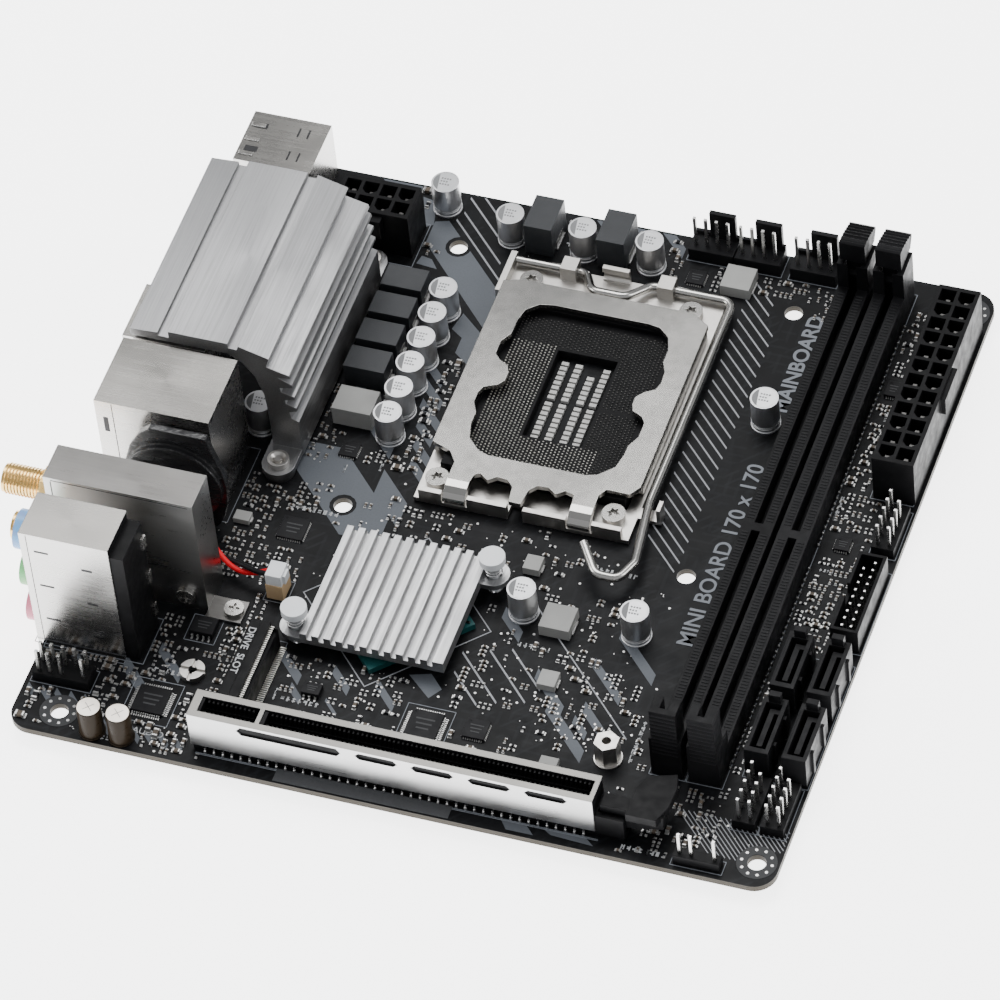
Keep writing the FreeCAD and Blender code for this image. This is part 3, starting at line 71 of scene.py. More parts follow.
class Shader:
    """A node material with a few short ways to add procedural detail."""

    def __init__(self, name, colour, rough=0.5, metal=0.0):
        self.material = bpy.data.materials.new(name)
        self.material.use_nodes = True
        self.material.diffuse_color = (*colour, 1.0)
        self.tree = self.material.node_tree
        self.bsdf = self.tree.nodes["Principled BSDF"]
        self.bsdf.inputs["Metallic"].default_value = metal
        self.coords = self.add("ShaderNodeTexCoord").outputs["Object"]
        self.colour = self.fixed("ShaderNodeRGB", (*colour, 1.0))
        self.rough = self.fixed("ShaderNodeValue", rough)
        self.normal = None

    def add(self, kind, **settings):
        made = self.tree.nodes.new(kind)
        for key, setting in settings.items():
            setattr(made, key, setting)
        return made

    def link(self, source, target):
        self.tree.links.new(source, target)

    def fixed(self, kind, setting):
        made = self.add(kind)
        made.outputs[0].default_value = setting
        return made.outputs[0]

    def math(self, operation, first, second):
        made = self.add("ShaderNodeMath", operation=operation)
        for socket, item in zip(made.inputs, (first, second)):
            if isinstance(item, (int, float)):
                socket.default_value = item
            else:
                self.link(item, socket)
        return made.outputs[0]

    def height_of(self, vector):
        """The Z part of a vector."""
        made = self.add("ShaderNodeSeparateXYZ")
        self.link(vector, made.inputs[0])
        return made.outputs["Z"]

    def stretched(self, scale, turn=0.0):
        """Object coordinates scaled, then turned about Z. The scale is one number, or one for each axis."""
        made = self.add("ShaderNodeMapping")
        made.inputs["Scale"].default_value = scale if isinstance(scale, tuple) else (scale,) * 3
        made.inputs["Rotation"].default_value = (0.0, 0.0, turn)
        self.link(self.coords, made.inputs["Vector"])
        return made.outputs[0]

    def bands(self, vector, axis, scale):
        made = self.add("ShaderNodeTexWave", wave_type="BANDS", bands_direction=axis)
        self.link(vector, made.inputs["Vector"])
        made.inputs["Scale"].default_value = scale
        return made.outputs["Fac"]

    def noise(self, vector, scale=1.0, detail=3.0, rough=0.5):
        made = self.add("ShaderNodeTexNoise")
        self.link(vector, made.inputs["Vector"])
        made.inputs["Scale"].default_value = scale
        made.inputs["Detail"].default_value = detail
        made.inputs["Roughness"].default_value = rough
        return made.outputs["Fac"]

    def ramp(self, source, low, high, bottom=0.0, top=1.0):
        made = self.add("ShaderNodeMapRange")
        self.link(source, made.inputs["Value"])
        for name, number in (("From Min", low), ("From Max", high), ("To Min", bottom), ("To Max", top)):
            made.inputs[name].default_value = number
        return made.outputs["Result"]

    def mix(self, amount, first, second):
        made = self.add("ShaderNodeMix", data_type="RGBA")
        for socket, item in ((made.inputs[0], amount), (made.inputs[6], first), (made.inputs[7], second)):
            if isinstance(item, (int, float)):
                socket.default_value = item
            elif isinstance(item, tuple):
                socket.default_value = (*item, 1.0)
            else:
                self.link(item, socket)
        return made.outputs[2]

    def tint(self, amount, colour):
        self.colour = self.mix(amount, self.colour, colour)

    def round_edges(self, radius):
        made = self.add("ShaderNodeBevel", samples=4)
        made.inputs["Radius"].default_value = radius
        self.normal = made.outputs[0]

    def bump(self, height, strength, distance):
        made = self.add("ShaderNodeBump")
        made.inputs["Strength"].default_value = strength
        made.inputs["Distance"].default_value = distance
        self.link(height, made.inputs["Height"])
        if self.normal is not None:
            self.link(self.normal, made.inputs["Normal"])
        self.normal = made.outputs[0]

    def edge_mask(self, radius):
        """One along sharp edges, nought on flats."""
        soft = self.add("ShaderNodeBevel", samples=4)
        soft.inputs["Radius"].default_value = radius
        plain = self.add("ShaderNodeNewGeometry")
        dot = self.add("ShaderNodeVectorMath", operation="DOT_PRODUCT")
        self.link(soft.outputs[0], dot.inputs[0])
        self.link(plain.outputs["Normal"], dot.inputs[1])
        return self.ramp(dot.outputs["Value"], 0.995, 0.86)

    def finish(self):
        self.link(self.colour, self.bsdf.inputs["Base Color"])
        self.link(self.rough, self.bsdf.inputs["Roughness"])
        if self.normal is not None:
            self.link(self.normal, self.bsdf.inputs["Normal"])
        return self.material


def plastic(name, colour, rough=0.45, grain=0.2, edge=0.00018, edge_wear_and_highlight=0.25, shine=0.09):
    """Moulded plastic: fine texture, slightly paler edges (part edge wear, part painted highlight), uneven
    gloss.
    """
    s = Shader(name, colour, rough)
    s.bsdf.inputs["Specular IOR Level"].default_value = shine
    cloud = s.noise(s.coords, 140.0, 4.0)
    s.tint(s.ramp(cloud, 0.35, 0.7, 0.0, 0.35), tuple(min(1.0, c * 1.4 + 0.003) for c in colour))
    s.rough = s.ramp(s.noise(s.coords, 420.0, 3.0), 0.3, 0.7, rough - 0.08, rough + 0.12)
    # paler edges: part edge wear, part painted highlight where the edges catch the light
    s.tint(s.math("MULTIPLY", s.edge_mask(edge), edge_wear_and_highlight), tuple(min(1.0, c * 1.8 + 0.018) for c in colour))
    s.round_edges(edge)
    s.bump(s.noise(s.coords, 5200.0, 2.0), grain, 0.00005)
    return s.finish()


def metal(name, colour, rough=0.28, scale=(60.0, 3000.0, 3000.0), streak=0.25, edge=0.00015, smudge=0.12,
          cloudy=0.25, top=None):
    """Sheet or drawn metal with fine rolling marks, cloudy gloss, a painted highlight on its edges, and
    upward faces painted darker (top) as painted shade for how light falls on them.
    """
    s = Shader(name, colour, rough, 1.0)
    lines = s.noise(s.stretched(scale), 1.0, 4.0, 0.6)
    cloud = s.noise(s.coords, 90.0, 5.0, 0.55)
    # painted shade: faces that point up take the colour top, standing in for how light falls on the upper
    # faces
    if top:
        facing = s.height_of(s.add("ShaderNodeNewGeometry").outputs["Normal"])
        s.tint(s.math("GREATER_THAN", facing, 0.8), top)
    s.tint(s.ramp(cloud, 0.35, 0.75, 0.0, cloudy), tuple(c * 0.8 for c in colour))
    s.tint(s.ramp(lines, 0.35, 0.7, 0.0, streak), tuple(c * 0.6 for c in colour))
    # painted highlight: edges are tinted brighter where light would catch them
    s.tint(s.math("MULTIPLY", s.edge_mask(edge), 0.6), tuple(min(1.0, c * 1.25) for c in colour))
    uneven = 0.02 + 0.3 * streak
    s.rough = s.math("ADD", s.ramp(lines, 0.3, 0.7, rough - uneven / 2, rough + uneven),
                     s.ramp(cloud, 0.4, 0.8, 0.0, smudge))
    s.round_edges(edge)
    s.bump(lines, streak, 0.00002)
    s.bsdf.inputs["Anisotropic"].default_value = 0.35
    return s.finish()


def solder_mask(name):
    """Black mask over copper: faint diagonal and straight tracks, a fine weave, and layers on the edge."""
    s = Shader(name, (0.0042, 0.0044, 0.005), 0.42)
    s.bsdf.inputs["Specular IOR Level"].default_value = 0.11
    for turn, pitch, strength in ((45, 900.0, 0.5), (0, 760.0, 0.35), (90, 820.0, 0.35)):
        vector = s.stretched(1.0, math.radians(turn))
        lines = s.ramp(s.bands(vector, "X", pitch / 6.0), 0.72, 0.9)
        patch = s.ramp(s.noise(vector, 95.0 + 7.0 * pitch / 100.0, 1.0), 0.52, 0.56)
        s.tint(s.math("MULTIPLY", s.math("MULTIPLY", lines, patch), strength), (0.012, 0.013, 0.015))
    planes = s.ramp(s.noise(s.coords, 60.0, 2.0), 0.5, 0.53)
    s.tint(s.math("MULTIPLY", planes, 0.35), (0.0095, 0.01, 0.0115))
    weave = s.noise(s.stretched(2600.0), 1.0, 2.0)
    s.rough = s.ramp(s.noise(s.coords, 240.0, 3.0), 0.3, 0.7, 0.34, 0.5)
    s.bump(weave, 0.12, 0.00003)
    height = s.height_of(s.coords)
    edge = s.math("MULTIPLY", s.math("LESS_THAN", height, -0.00008), s.math("GREATER_THAN", height, -0.0015))
    layers = s.mix(s.bands(s.coords, "Z", 620.0), (0.04, 0.034, 0.025), (0.085, 0.073, 0.055))
    s.tint(s.math("MULTIPLY", edge, 0.85), layers)
    return s.finish()


def paint(name, colour, rough=0.5, speck=0.25):
    """Printed ink with a slightly worn, grainy edge."""
    s = Shader(name, colour, rough)
    s.bsdf.inputs["Specular IOR Level"].default_value = 0.2
    s.tint(s.ramp(s.noise(s.coords, 2600.0, 2.0), 0.45, 0.75, 0.0, speck), tuple(c * 0.55 for c in colour))
    s.tint(s.ramp(s.noise(s.coords, 120.0, 3.0), 0.4, 0.75, 0.0, 0.3), tuple(c * 0.8 for c in colour))
    s.bump(s.noise(s.coords, 3000.0, 2.0), 0.15, 0.00002)
    return s.finish()


def banded(name, stops, rough=0.35):
    """Colour that changes at given heights: stops are (height in mm, colour)."""
    first = stops[0][1]
    s = Shader(name, first, rough)
    height = s.height_of(s.coords)
    for start, colour in stops[1:]:
        s.tint(s.math("GREATER_THAN", height, start * MM), colour)
    s.tint(s.ramp(s.noise(s.coords, 500.0, 3.0), 0.4, 0.7, 0.0, 0.25), tuple(c * 0.7 for c in first))
    s.rough = s.ramp(s.noise(s.coords, 700.0, 2.0), 0.3, 0.7, rough - 0.08, rough + 0.1)
    s.round_edges(0.00015)
    s.bump(s.noise(s.coords, 3600.0, 2.0), 0.15, 0.00003)
    return s.finish()


def shrink_sleeve(name):
    """Shrunk film over a coin cell: glossy, with soft folds."""
    s = Shader(name, (0.008, 0.008, 0.009), 0.2)
    folds = s.noise(s.stretched((150.0, 150.0, 420.0)), 1.0, 4.0, 0.6)
    s.rough = s.ramp(folds, 0.3, 0.7, 0.12, 0.32)
    s.round_edges(0.0006)
    s.bump(folds, 0.7, 0.0006)
    s.bsdf.inputs["Coat Weight"].default_value = 0.4
    return s.finish()


MASK = solder_mask("board_mask")
BLACK = plastic("black_moulding", (0.0045, 0.0045, 0.005), 0.4)
CHIP = plastic("chip_resin", (0.009, 0.009, 0.01), 0.38, 0.3)
DARK_GREY = plastic("grey_moulding", (0.008, 0.008, 0.0088), 0.4)
RIDGE_GREY = plastic("ridge_grey", (0.012, 0.012, 0.013), 0.45)
WHITE = plastic("white_moulding", (0.78, 0.8, 0.82), 0.4, 0.1, edge_wear_and_highlight=0.1, shine=0.4)
BEIGE = plastic("beige_moulding", (0.6, 0.42, 0.24), 0.45, 0.15, edge_wear_and_highlight=0.15)
# top gives each metal's upward faces a darker colour of their own: painted shade for how light falls on them
SHIELD = metal("radio_shield", (0.5, 0.495, 0.485), 0.28, (60.0, 1400.0, 1400.0), 0.08, 0.00012, 0.06,
               cloudy=0.12, top=(0.125, 0.121, 0.116))
NICKEL = metal("bright_nickel", (0.5, 0.487, 0.466), 0.2, 500.0, 0.03, smudge=0.04,
               cloudy=0.06, top=(0.37, 0.362, 0.345))
STEEL = metal("stamped_steel", (0.62, 0.6, 0.57), 0.33, 700.0, 0.2)
TIN = metal("tin_plate", (0.54, 0.53, 0.515), 0.24, (60.0, 1400.0, 1400.0), 0.05, 0.00012, 0.06,
            cloudy=0.12, top=(0.25, 0.242, 0.228))
STRIP = metal("bright_strip", (0.56, 0.56, 0.56), 0.28, (20.0, 1800.0, 1800.0), 0.06,
              cloudy=0.1, top=(0.15, 0.145, 0.134))
GREY_FIN = metal("brushed_grey", (0.345, 0.345, 0.35), 0.36, (2600.0, 40.0, 2600.0), 0.4)
SILVER_FIN = metal("anodised_silver", (0.52, 0.52, 0.525), 0.4, (2200.0, 60.0, 2200.0), 0.35)
BLACK_METAL = metal("black_zinc", (0.05, 0.05, 0.052), 0.4)
CAN = metal("capacitor_aluminium", (0.86, 0.86, 0.87), 0.36, 900.0, 0.06,
            top=(0.56, 0.565, 0.575))
GOLD = metal("gold_plate", (0.86, 0.58, 0.22), 0.2, 900.0, 0.1)
PALE_GOLD = metal("pale_contact", (0.66, 0.64, 0.59), 0.28, 1500.0, 0.1)
SOLDER = metal("solder", (0.44, 0.436, 0.428), 0.26, 2000.0, 0.15, 0.00008)
SPRING = metal("spring_wire", (0.7, 0.7, 0.7), 0.2, (2000.0, 2000.0, 200.0), 0.1)
INK = paint("slate_ink", (0.1, 0.11, 0.125))
PALE_INK = paint("pale_ink", (0.3, 0.31, 0.33))
TITLE_INK = paint("title_ink", (0.2, 0.215, 0.24))
WHITE_INK = paint("white_ink", (0.46, 0.47, 0.48))
GREY_LABEL = paint("grey_label", (0.035, 0.036, 0.038))
FRONT_LABEL = paint("front_label", (0.062, 0.064, 0.068))
CREAM = metal("cream_lid", (0.72, 0.67, 0.6), 0.35, 900.0, 0.06)
CAN_SHADE = paint("can_shade", (0.2, 0.203, 0.207))
PIN = metal("pin_metal", (0.6, 0.595, 0.58), 0.24, 1500.0, 0.08)
# pin metal painted dark: painted shade for the socket's shaded contacts and for the power pins down in their
# housings
DARK_PIN = metal("shaded_pin", (0.1, 0.098, 0.095), 0.35, 1500.0, 0.1)
PALE_CERAMIC = plastic("plated_ceramic", (0.42, 0.415, 0.4), 0.35, 0.15, 0.00008, shine=0.5)
CERAMIC = plastic("fired_ceramic", (0.095, 0.078, 0.062), 0.35, 0.15, 0.00006)
RESISTOR = plastic("resistor_glaze", (0.012, 0.012, 0.014), 0.25, 0.1, 0.00006)
CHOKE = plastic("pressed_iron", (0.026, 0.028, 0.031), 0.4, 0.5, 0.0003, 0.5, 0.3)
PALE_CHOKE = plastic("pale_pressed_iron", (0.3, 0.3, 0.29), 0.5, 0.6, 0.00025, 0.3)
SUBSTRATE = paint("package_board", (0.012, 0.075, 0.075), 0.3, 0.15)
PAD = plastic("soft_pad", (0.36, 0.38, 0.4), 0.7, 0.5)
RING = banded("ring_colours", [
    (0.0, (0.75, 0.22, 0.32)), (11.7, (0.16, 0.55, 0.2)), (23.5, (0.14, 0.38, 0.72)),
])
SLEEVE = shrink_sleeve("shrink_sleeve")
RED = plastic("red_insulation", (0.62, 0.012, 0.02), 0.3, 0.05, edge_wear_and_highlight=0.1)
BLACK_WIRE = plastic("black_insulation", (0.012, 0.012, 0.013), 0.3, 0.05, edge_wear_and_highlight=0.1)
AUDIO_CAN = plastic("dark_gold_sleeve", (0.016, 0.011, 0.0065), 0.3, 0.1, 0.0003, 0.3, 0.05)

NODE_MATERIALS = {
    "pcb": MASK, "cpu_socket_body": BLACK, "socket_capacitors": PALE_CERAMIC,
    "ilm_frame": STEEL, "ilm_load_plate": NICKEL, "ilm_lever": NICKEL, "ilm_screws": NICKEL,
    "ilm_backplate": BLACK_METAL,
    "vrm_heatsink": GREY_FIN, "vrm_heatsink_screws": STEEL, "vrm_thermal_pad": PAD, "vrm_mosfets": CHIP,
    "vcore_chokes": CHOKE, "input_chokes": CHOKE, "aux_chokes": PALE_CHOKE,
    "polymer_capacitors": CAN, "audio_capacitors": AUDIO_CAN,
    "chipset": SUBSTRATE, "chipset_thermal_pad": PAD, "chipset_heatsink": SILVER_FIN,
    "push_pin_left": WHITE, "push_pin_right": WHITE,
    "push_pin_spring_left": SPRING, "push_pin_spring_right": SPRING,
    "dimm_slot_a": BLACK, "dimm_slot_b": DARK_GREY, "dimm_latch_a": BLACK, "dimm_latch_b": DARK_GREY,
    "pcie_slot_body": BLACK, "pcie_slot_shield": STRIP, "pcie_slot_latch": BLACK,
    "m2_connector": BLACK, "m2_standoff": STEEL, "m2_nut": STEEL,
    "wifi_shield": SHIELD, "wifi_card": MASK, "wifi_shield_screws": NICKEL, "sma_connectors": GOLD,
    "audio_jack_shell": TIN, "audio_jack_body": BLACK, "audio_jack_rings": RING, "audio_jack_clips": TIN,
    "lan_usb_shell": TIN, "lan_usb_inserts": BLACK, "rear_port_shells": TIN, "rear_port_inserts": BLACK,
    "eps_power_connector": BLACK, "atx_power_connector": BLACK, "power_pins": DARK_PIN,
    "fan_headers": DARK_GREY, "sata_ports": DARK_GREY, "usb3_header": BLACK,
    "pin_headers": BLACK, "header_pins": PIN,
    "battery": SLEEVE, "battery_socket": BEIGE, "battery_plug": WHITE, "ic_packages": CHIP,
}
for name, finish in NODE_MATERIALS.items():
    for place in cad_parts[name].material_slots:
        place.material = finish


# ------------ mesh pieces

def new_object(name, data):
    made = bpy.data.objects.new(name, data)
    bpy.context.scene.collection.objects.link(made)
    return made


def on_board(name, data, material, place=(0.0, 0.0, 0.0), turn=0.0):
    """A new object in one material that rides on the board, turned about Z by turn degrees."""
    data.materials.append(material)
    made = new_object(name, data)
    made.location = place
    made.rotation_euler = (0.0, 0.0, math.radians(turn))
    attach(made, BODY)
    return made


def circle(sides):
    """Evenly spaced angles round a full turn."""
    return [2 * math.pi * i / sides for i in range(sides)]


class Piece:
    """Collects small solids, in millimetres, into one mesh that rides on the board."""

    def __init__(self):
        self.mesh = bmesh.new()

    def corner(self, x, y, z):
        return self.mesh.verts.new((x * MM, y * MM, z * MM))

    def loop(self, x, y, radius, level, sides):
        return [self.corner(x + radius * math.cos(a), y + radius * math.sin(a), level) for a in circle(sides)]

    def bridge(self, loops):
        """Faces between each closed loop of corners and the next."""
        for under, over in zip(loops, loops[1:]):
            for i in range(len(under)):
                j = (i + 1) % len(under)
                self.mesh.faces.new((under[i], under[j], over[j], over[i]))

    def solid(self, loops):
        """A solid through the loops, with both ends filled."""
        self.bridge(loops)
        self.mesh.faces.new(loops[0][::-1])
        self.mesh.faces.new(loops[-1])

    def prism(self, outline, low, high):
        """An upright solid on a closed outline of (x, y) points, anticlockwise."""
        self.solid([[self.corner(x, y, level) for x, y in outline] for level in (low, high)])

    def box(self, x, y, wide, deep, low, high, turn=0.0):
        """A box centred on (x, y), turned about its middle by turn degrees."""
        c, s = math.cos(math.radians(turn)), math.sin(math.radians(turn))
        corners = [(-wide / 2, -deep / 2), (wide / 2, -deep / 2), (wide / 2, deep / 2), (-wide / 2, deep / 2)]
        self.prism([(x + c * a - s * b, y + s * a + c * b) for a, b in corners], low, high)

    def tapered(self, x, y, wide, deep, low, high, inset):
        """A box with its top edge drawn in, for soft-edged blocks."""
        loops = []
        for level, draw in ((low, 0.0), (high - inset, 0.0), (high, inset)):
            a, b = wide / 2 - draw, deep / 2 - draw
            loops.append([self.corner(x + i, y + j, level) for i, j in ((-a, -b), (a, -b), (a, b), (-a, b))])
        self.solid(loops)

    def disc(self, x, y, radius, low, high, sides, start=0.0, sweep=360.0):
        """A full disc, or the segment that an arc and its chord enclose."""
        count = sides if sweep == 360.0 else sides + 1
        angles = [math.radians(start + sweep * i / sides) for i in range(count)]
        self.prism([(x + radius * math.cos(a), y + radius * math.sin(a)) for a in angles], low, high)

    def ring(self, x, y, outer, inner, low, high, sides):
        section = ((outer, low), (outer, high), (inner, high), (inner, low))
        loops = [self.loop(x, y, radius, level, sides) for radius, level in section]
        self.bridge(loops + loops[:1])

    def dome(self, x, y, radius, low, high, sides):
        """A low rounded blob, such as solder."""
        angles = [share * math.pi / 2 for share in (0.0, 0.45, 0.8)]
        self.solid([
            self.loop(x, y, radius * math.cos(a), low + (high - low) * math.sin(a), sides) for a in angles
        ])

    def done(self, name, material, slot, smooth=False):
        data = bpy.data.meshes.new(name)
        bmesh.ops.recalc_face_normals(self.mesh, faces=self.mesh.faces)
        self.mesh.to_mesh(data)
        self.mesh.free()
        if smooth:
            data.shade_smooth()
        return on_board(name, data, material)


def box_mm(node):
    low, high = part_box(node)
    return [v / MM for v in low], [v / MM for v in high]


SOCKET_X, SOCKET_Y = 3.6, 30.06
CHIPSET_X, CHIPSET_Y = -14.2, -34.3
MEMORY_X = (55.25, 63.45)
COOLER_HALF = 39.0
MOUNT_HOLES = [(-74.84, -78.65), (80.10, -78.65), (-51.98, 78.83), (80.10, 78.83)]
COOLER_HOLES = [(SOCKET_X + a * COOLER_HALF, SOCKET_Y + b * COOLER_HALF) for a in (-1, 1) for b in (-1, 1)]


def side_of(point, a, b):
    """Positive where point lies left of the line from a to b."""
    return (b[0] - a[0]) * (point[1] - a[1]) - (b[1] - a[1]) * (point[0] - a[0])


def kept(points, a, b, sign=1.0):
    """The part of a convex outline on one side of the line from a to b."""
    result = []
    for here, following in zip(points, points[1:] + points[:1]):
        d0, d1 = sign * side_of(here, a, b), sign * side_of(following, a, b)
        if d0 >= 0:
            result.append(here)
        if d0 * d1 < 0:
            t = d0 / (d0 - d1)
            result.append((here[0] + t * (following[0] - here[0]), here[1] + t * (following[1] - here[1])))
    return result if len(result) > 2 else []


# print stops short of the board's edges, its rounded corners and its holes
EDGE, CORNER, HOLE_CLEAR = 84.5, 81.3, 3.0
BOARD_OUTLINE = [
    (-EDGE, -CORNER), (-CORNER, -EDGE), (CORNER, -EDGE), (EDGE, -CORNER),
    (EDGE, CORNER), (CORNER, EDGE), (-CORNER, EDGE), (-EDGE, CORNER),
]
HOLE_OUTLINES = [
    [(x + HOLE_CLEAR * math.cos(a), y + HOLE_CLEAR * math.sin(a)) for a in circle(14)]
    for x, y in MOUNT_HOLES + COOLER_HOLES
]
LEVEL_STEP, LEVELS = 0.003, 8


class Ink(Piece):
    """Flat print, cut to the board and round its holes. Successive outlines differ a little in level."""

    def __init__(self, level):
        super().__init__()
        self.level = level
        self.count = 0

    def shape(self, points):
        self.count += 1
        high = self.level + LEVEL_STEP * (self.count % LEVELS)
        for a, b in zip(BOARD_OUTLINE, BOARD_OUTLINE[1:] + BOARD_OUTLINE[:1]):
            points = kept(points, a, b)
            if not points:
                return
        parts = [points]
        for hole in HOLE_OUTLINES:
            outside = []
            for part in parts:
                rest = part
                for a, b in zip(hole, hole[1:] + hole[:1]):
                    away = kept(rest, a, b, -1.0)
                    if away:
                        outside.append(away)
                    rest = kept(rest, a, b)
                    if not rest:
                        break
            parts = outside
        for part in parts:
            self.prism(part, 0.0, high)


# ------------ printed ink on the board

ROOT_HALF = math.sqrt(0.5)


def band(piece, x, y, length, width):
    """A stripe from (x, y) towards +X -Y, with its ends cut along Y."""
    dx = length * ROOT_HALF
    up = width / ROOT_HALF
    piece.shape([(x, y), (x + dx, y - dx), (x + dx, y - dx + up), (x, y + up)])


SLATE_LEVEL, LINE_LEVEL = 0.01, 0.04
slate = Ink(SLATE_LEVEL)
# wide fields left of the socket, round the power stage, below the chipset and at the front edge
for points in (
    [(-49.0, -1.5), (-33.5, -17.0), (-24.5, -17.0), (-24.5, -9.5), (-40.5, 6.5), (-49.0, 6.5)],
    [(-30.0, -4.0), (-22.0, -12.0), (-22.0, -5.0), (-30.0, 3.0)],
    [(-44.0, 20.0), (-30.0, 6.0), (-30.0, 12.5), (-44.0, 26.5)],
    [(-43.0, 68.5), (-22.0, 47.0), (-22.0, 58.0), (-40.0, 76.0), (-43.0, 75.0)],
    [(-28.0, 50.5), (-29.0, 45.5), (-26.0, 43.5), (-22.0, 45.5)],
    [(-26.0, 43.5), (-26.0, 39.0), (-22.0, 36.0), (-22.0, 45.5)],
    [(-43.0, 62.0), (-38.0, 61.5), (-40.0, 64.0), (-42.5, 64.5)],
    [(-44.5, 73.0), (-43.0, 74.0), (-43.5, 76.5), (-45.5, 81.0), (-48.0, 81.5)],
    [(-57.5, 83.5), (-49.0, 83.5), (-49.0, 84.5), (-58.5, 84.5)],
    [(-6.0, -50.0), (0.0, -55.0), (2.0, -52.0), (-1.5, -48.5)],
    [(27.0, -84.0), (33.0, -84.0), (30.5, -81.5), (25.0, -81.5)],
    [(36.5, -83.0), (46.0, -83.5), (43.5, -81.5), (34.0, -81.5)],
):
    slate.shape(points)
# a ladder of stripes left of the socket
for step in range(3, 9):
    band(slate, -34.0 + 1.1 * step, 50.0 - 5.6 * step, 7.0 + 1.0 * (step % 3), 1.9)
# short stripes: along the back edge, below the chipset, right of it, then round the audio stack
for x, y, length, width in (
    (-8.0, 84.5, 10.0, 2.4), (1.0, 84.5, 12.0, 1.6), (7.5, 84.5, 9.0, 2.2),
    (-22.0, -54.0, 7.0, 1.7), (-29.5, -60.5, 4.8, 1.5), (-21.0, -61.5, 5.0, 0.7), (-34.5, -52.5, 9.0, 2.0),
    (-12.0, -55.0, 8.0, 1.6), (8.0, -30.0, 8.0, 2.2), (20.0, -44.0, 12.0, 2.0), (25.0, -52.0, 16.0, 2.4),
    (32.5, -50.0, 9.0, 2.0), (31.5, -53.5, 5.5, 1.6), (31.0, -38.0, 12.0, 1.8), (34.0, -29.0, 15.0, 2.2),
    (-60.0, -58.0, 10.0, 2.0), (-66.0, -64.0, 9.0, 2.4), (-78.0, -63.5, 8.0, 1.6),
):
    band(slate, x, y, length, width)
# a row of small stripes at the near left corner
for step in range(12):
    band(slate, -84.0 + 3.2 * step, -80.0 if step > 4 else -74.5, 4.0, 1.2)
slate.done("ink_slate", INK, "board")

# the wide hatch between the socket and the memory slots, then a row right of the chipset
lines = Ink(LINE_LEVEL)
for step in range(26):
    start = 76.0 - 3.05 * step
    band(lines, 31.2, start, 12.6 if start < 70 else 9.0, 0.34)
for step in range(9):
    band(lines, 13.0 + 2.9 * step, -24.0 - 2.9 * step, 11.0, 0.3)
for x, y, length in (
    (-38.5, 76.5, 21.5), (-37.5, 79.0, 18.0), (-37.5, 83.5, 13.5), (-34.5, 84.5, 5.5),
    (3.0, -47.0, 10.5), (3.0, -41.5, 16.0), (8.5, -39.5, 16.5), (13.0, -38.0, 13.0),
):
    band(lines, x, y, length, 0.4)
# fine hatch at the near right corner
for step in range(22):
    band(lines, 60.0 + 1.15 * step, -69.5, 14.0 if step < 12 else 8.0, 0.2)
# a square on its corner round the chipset
FRAME_HALF, FRAME_LINE = 21.4, 0.35
inner_share = 1 - FRAME_LINE / FRAME_HALF
points = [(0, -FRAME_HALF), (FRAME_HALF, 0), (0, FRAME_HALF), (-FRAME_HALF, 0)]
for (ax, ay), (bx, by) in zip(points, points[1:] + points[:1]):
    lines.shape([
        (CHIPSET_X + ax, CHIPSET_Y + ay), (CHIPSET_X + bx, CHIPSET_Y + by),
        (CHIPSET_X + bx * inner_share, CHIPSET_Y + by * inner_share),
        (CHIPSET_X + ax * inner_share, CHIPSET_Y + ay * inner_share),
    ])
lines.done("ink_lines", PALE_INK, "board")


def outline(piece, low, high):
    """A thin printed rectangle."""
    (x0, y0), (x1, y1) = low, high
    line, level = 0.16, 0.066
    for y in low[1], high[1]:
        piece.box((x0 + x1) / 2, y, x1 - x0, line, 0.0, level)
    for x in low[0], high[0]:
        piece.box(x, (y0 + y1) / 2, line, y1 - y0, 0.0, level)


def margin(node, grow):
    low, high = box_mm(node)
    return (low[0] - grow, low[1] - grow), (high[0] + grow, high[1] + grow)


frames = Piece()
for node, grow in (
    ("lan_usb_shell", 1.5), ("audio_jack_body", 0.9), ("eps_power_connector", 0.8), ("usb3_header", 0.6),
    ("cpu_socket_body", 2.4), ("m2_connector", 1.2), ("battery_socket", 0.7), ("dimm_slot_a", 0.5),
    ("dimm_slot_b", 0.5),
):
    outline(frames, *margin(node, grow))
for low, high in (
    ((78.4, 6.6), (84.4, 20.3)), ((71.9, -71.8), (77.9, -58.1)), ((78.1, -71.8), (84.1, -58.1)),
    ((-83.9, -72.5), (-70.2, -66.4)), ((62.8, -83.8), (74.0, -80.3)), ((14.9, 78.2), (26.1, 84.7)),
    ((25.6, 78.2), (36.8, 84.7)), ((38.4, 78.2), (49.6, 84.7)), ((-62.0, -77.0), (-51.2, -65.4)),
    ((-56.0, -53.2), (-49.2, -46.0)), ((-3.6, -67.6), (7.0, -57.2)), ((74.2, 22.1), (83.9, 73.6)),
    ((-84.4, -63.0), (-66.0, -49.0)), ((-42.8, -81.9), (46.4, -81.6)), ((70.4, -57.8), (84.7, -23.6)),
):
    outline(frames, low, high)
frames.done("ink_frames", TITLE_INK, "board")


def mark(piece, x, y, size, along, count):
    """A short row of plain strokes where the board has a printed note."""
    thin = size * 0.16
    for index in range(count):
        shift = index * size * 0.85
        base_x, base_y = (x + shift, y) if along == "x" else (x, y + shift)
        for stroke in range(3):
            dx, dy = rng.uniform(-0.25, 0.25) * size, rng.uniform(-0.3, 0.3) * size
            if rng.random() < 0.5:
                piece.box(base_x + dx, base_y, thin, size * 0.8, 0.0, 0.07)
            else:
                piece.box(base_x, base_y + dy, size * 0.5, thin, 0.0, 0.074)


# ------------ small parts on the board

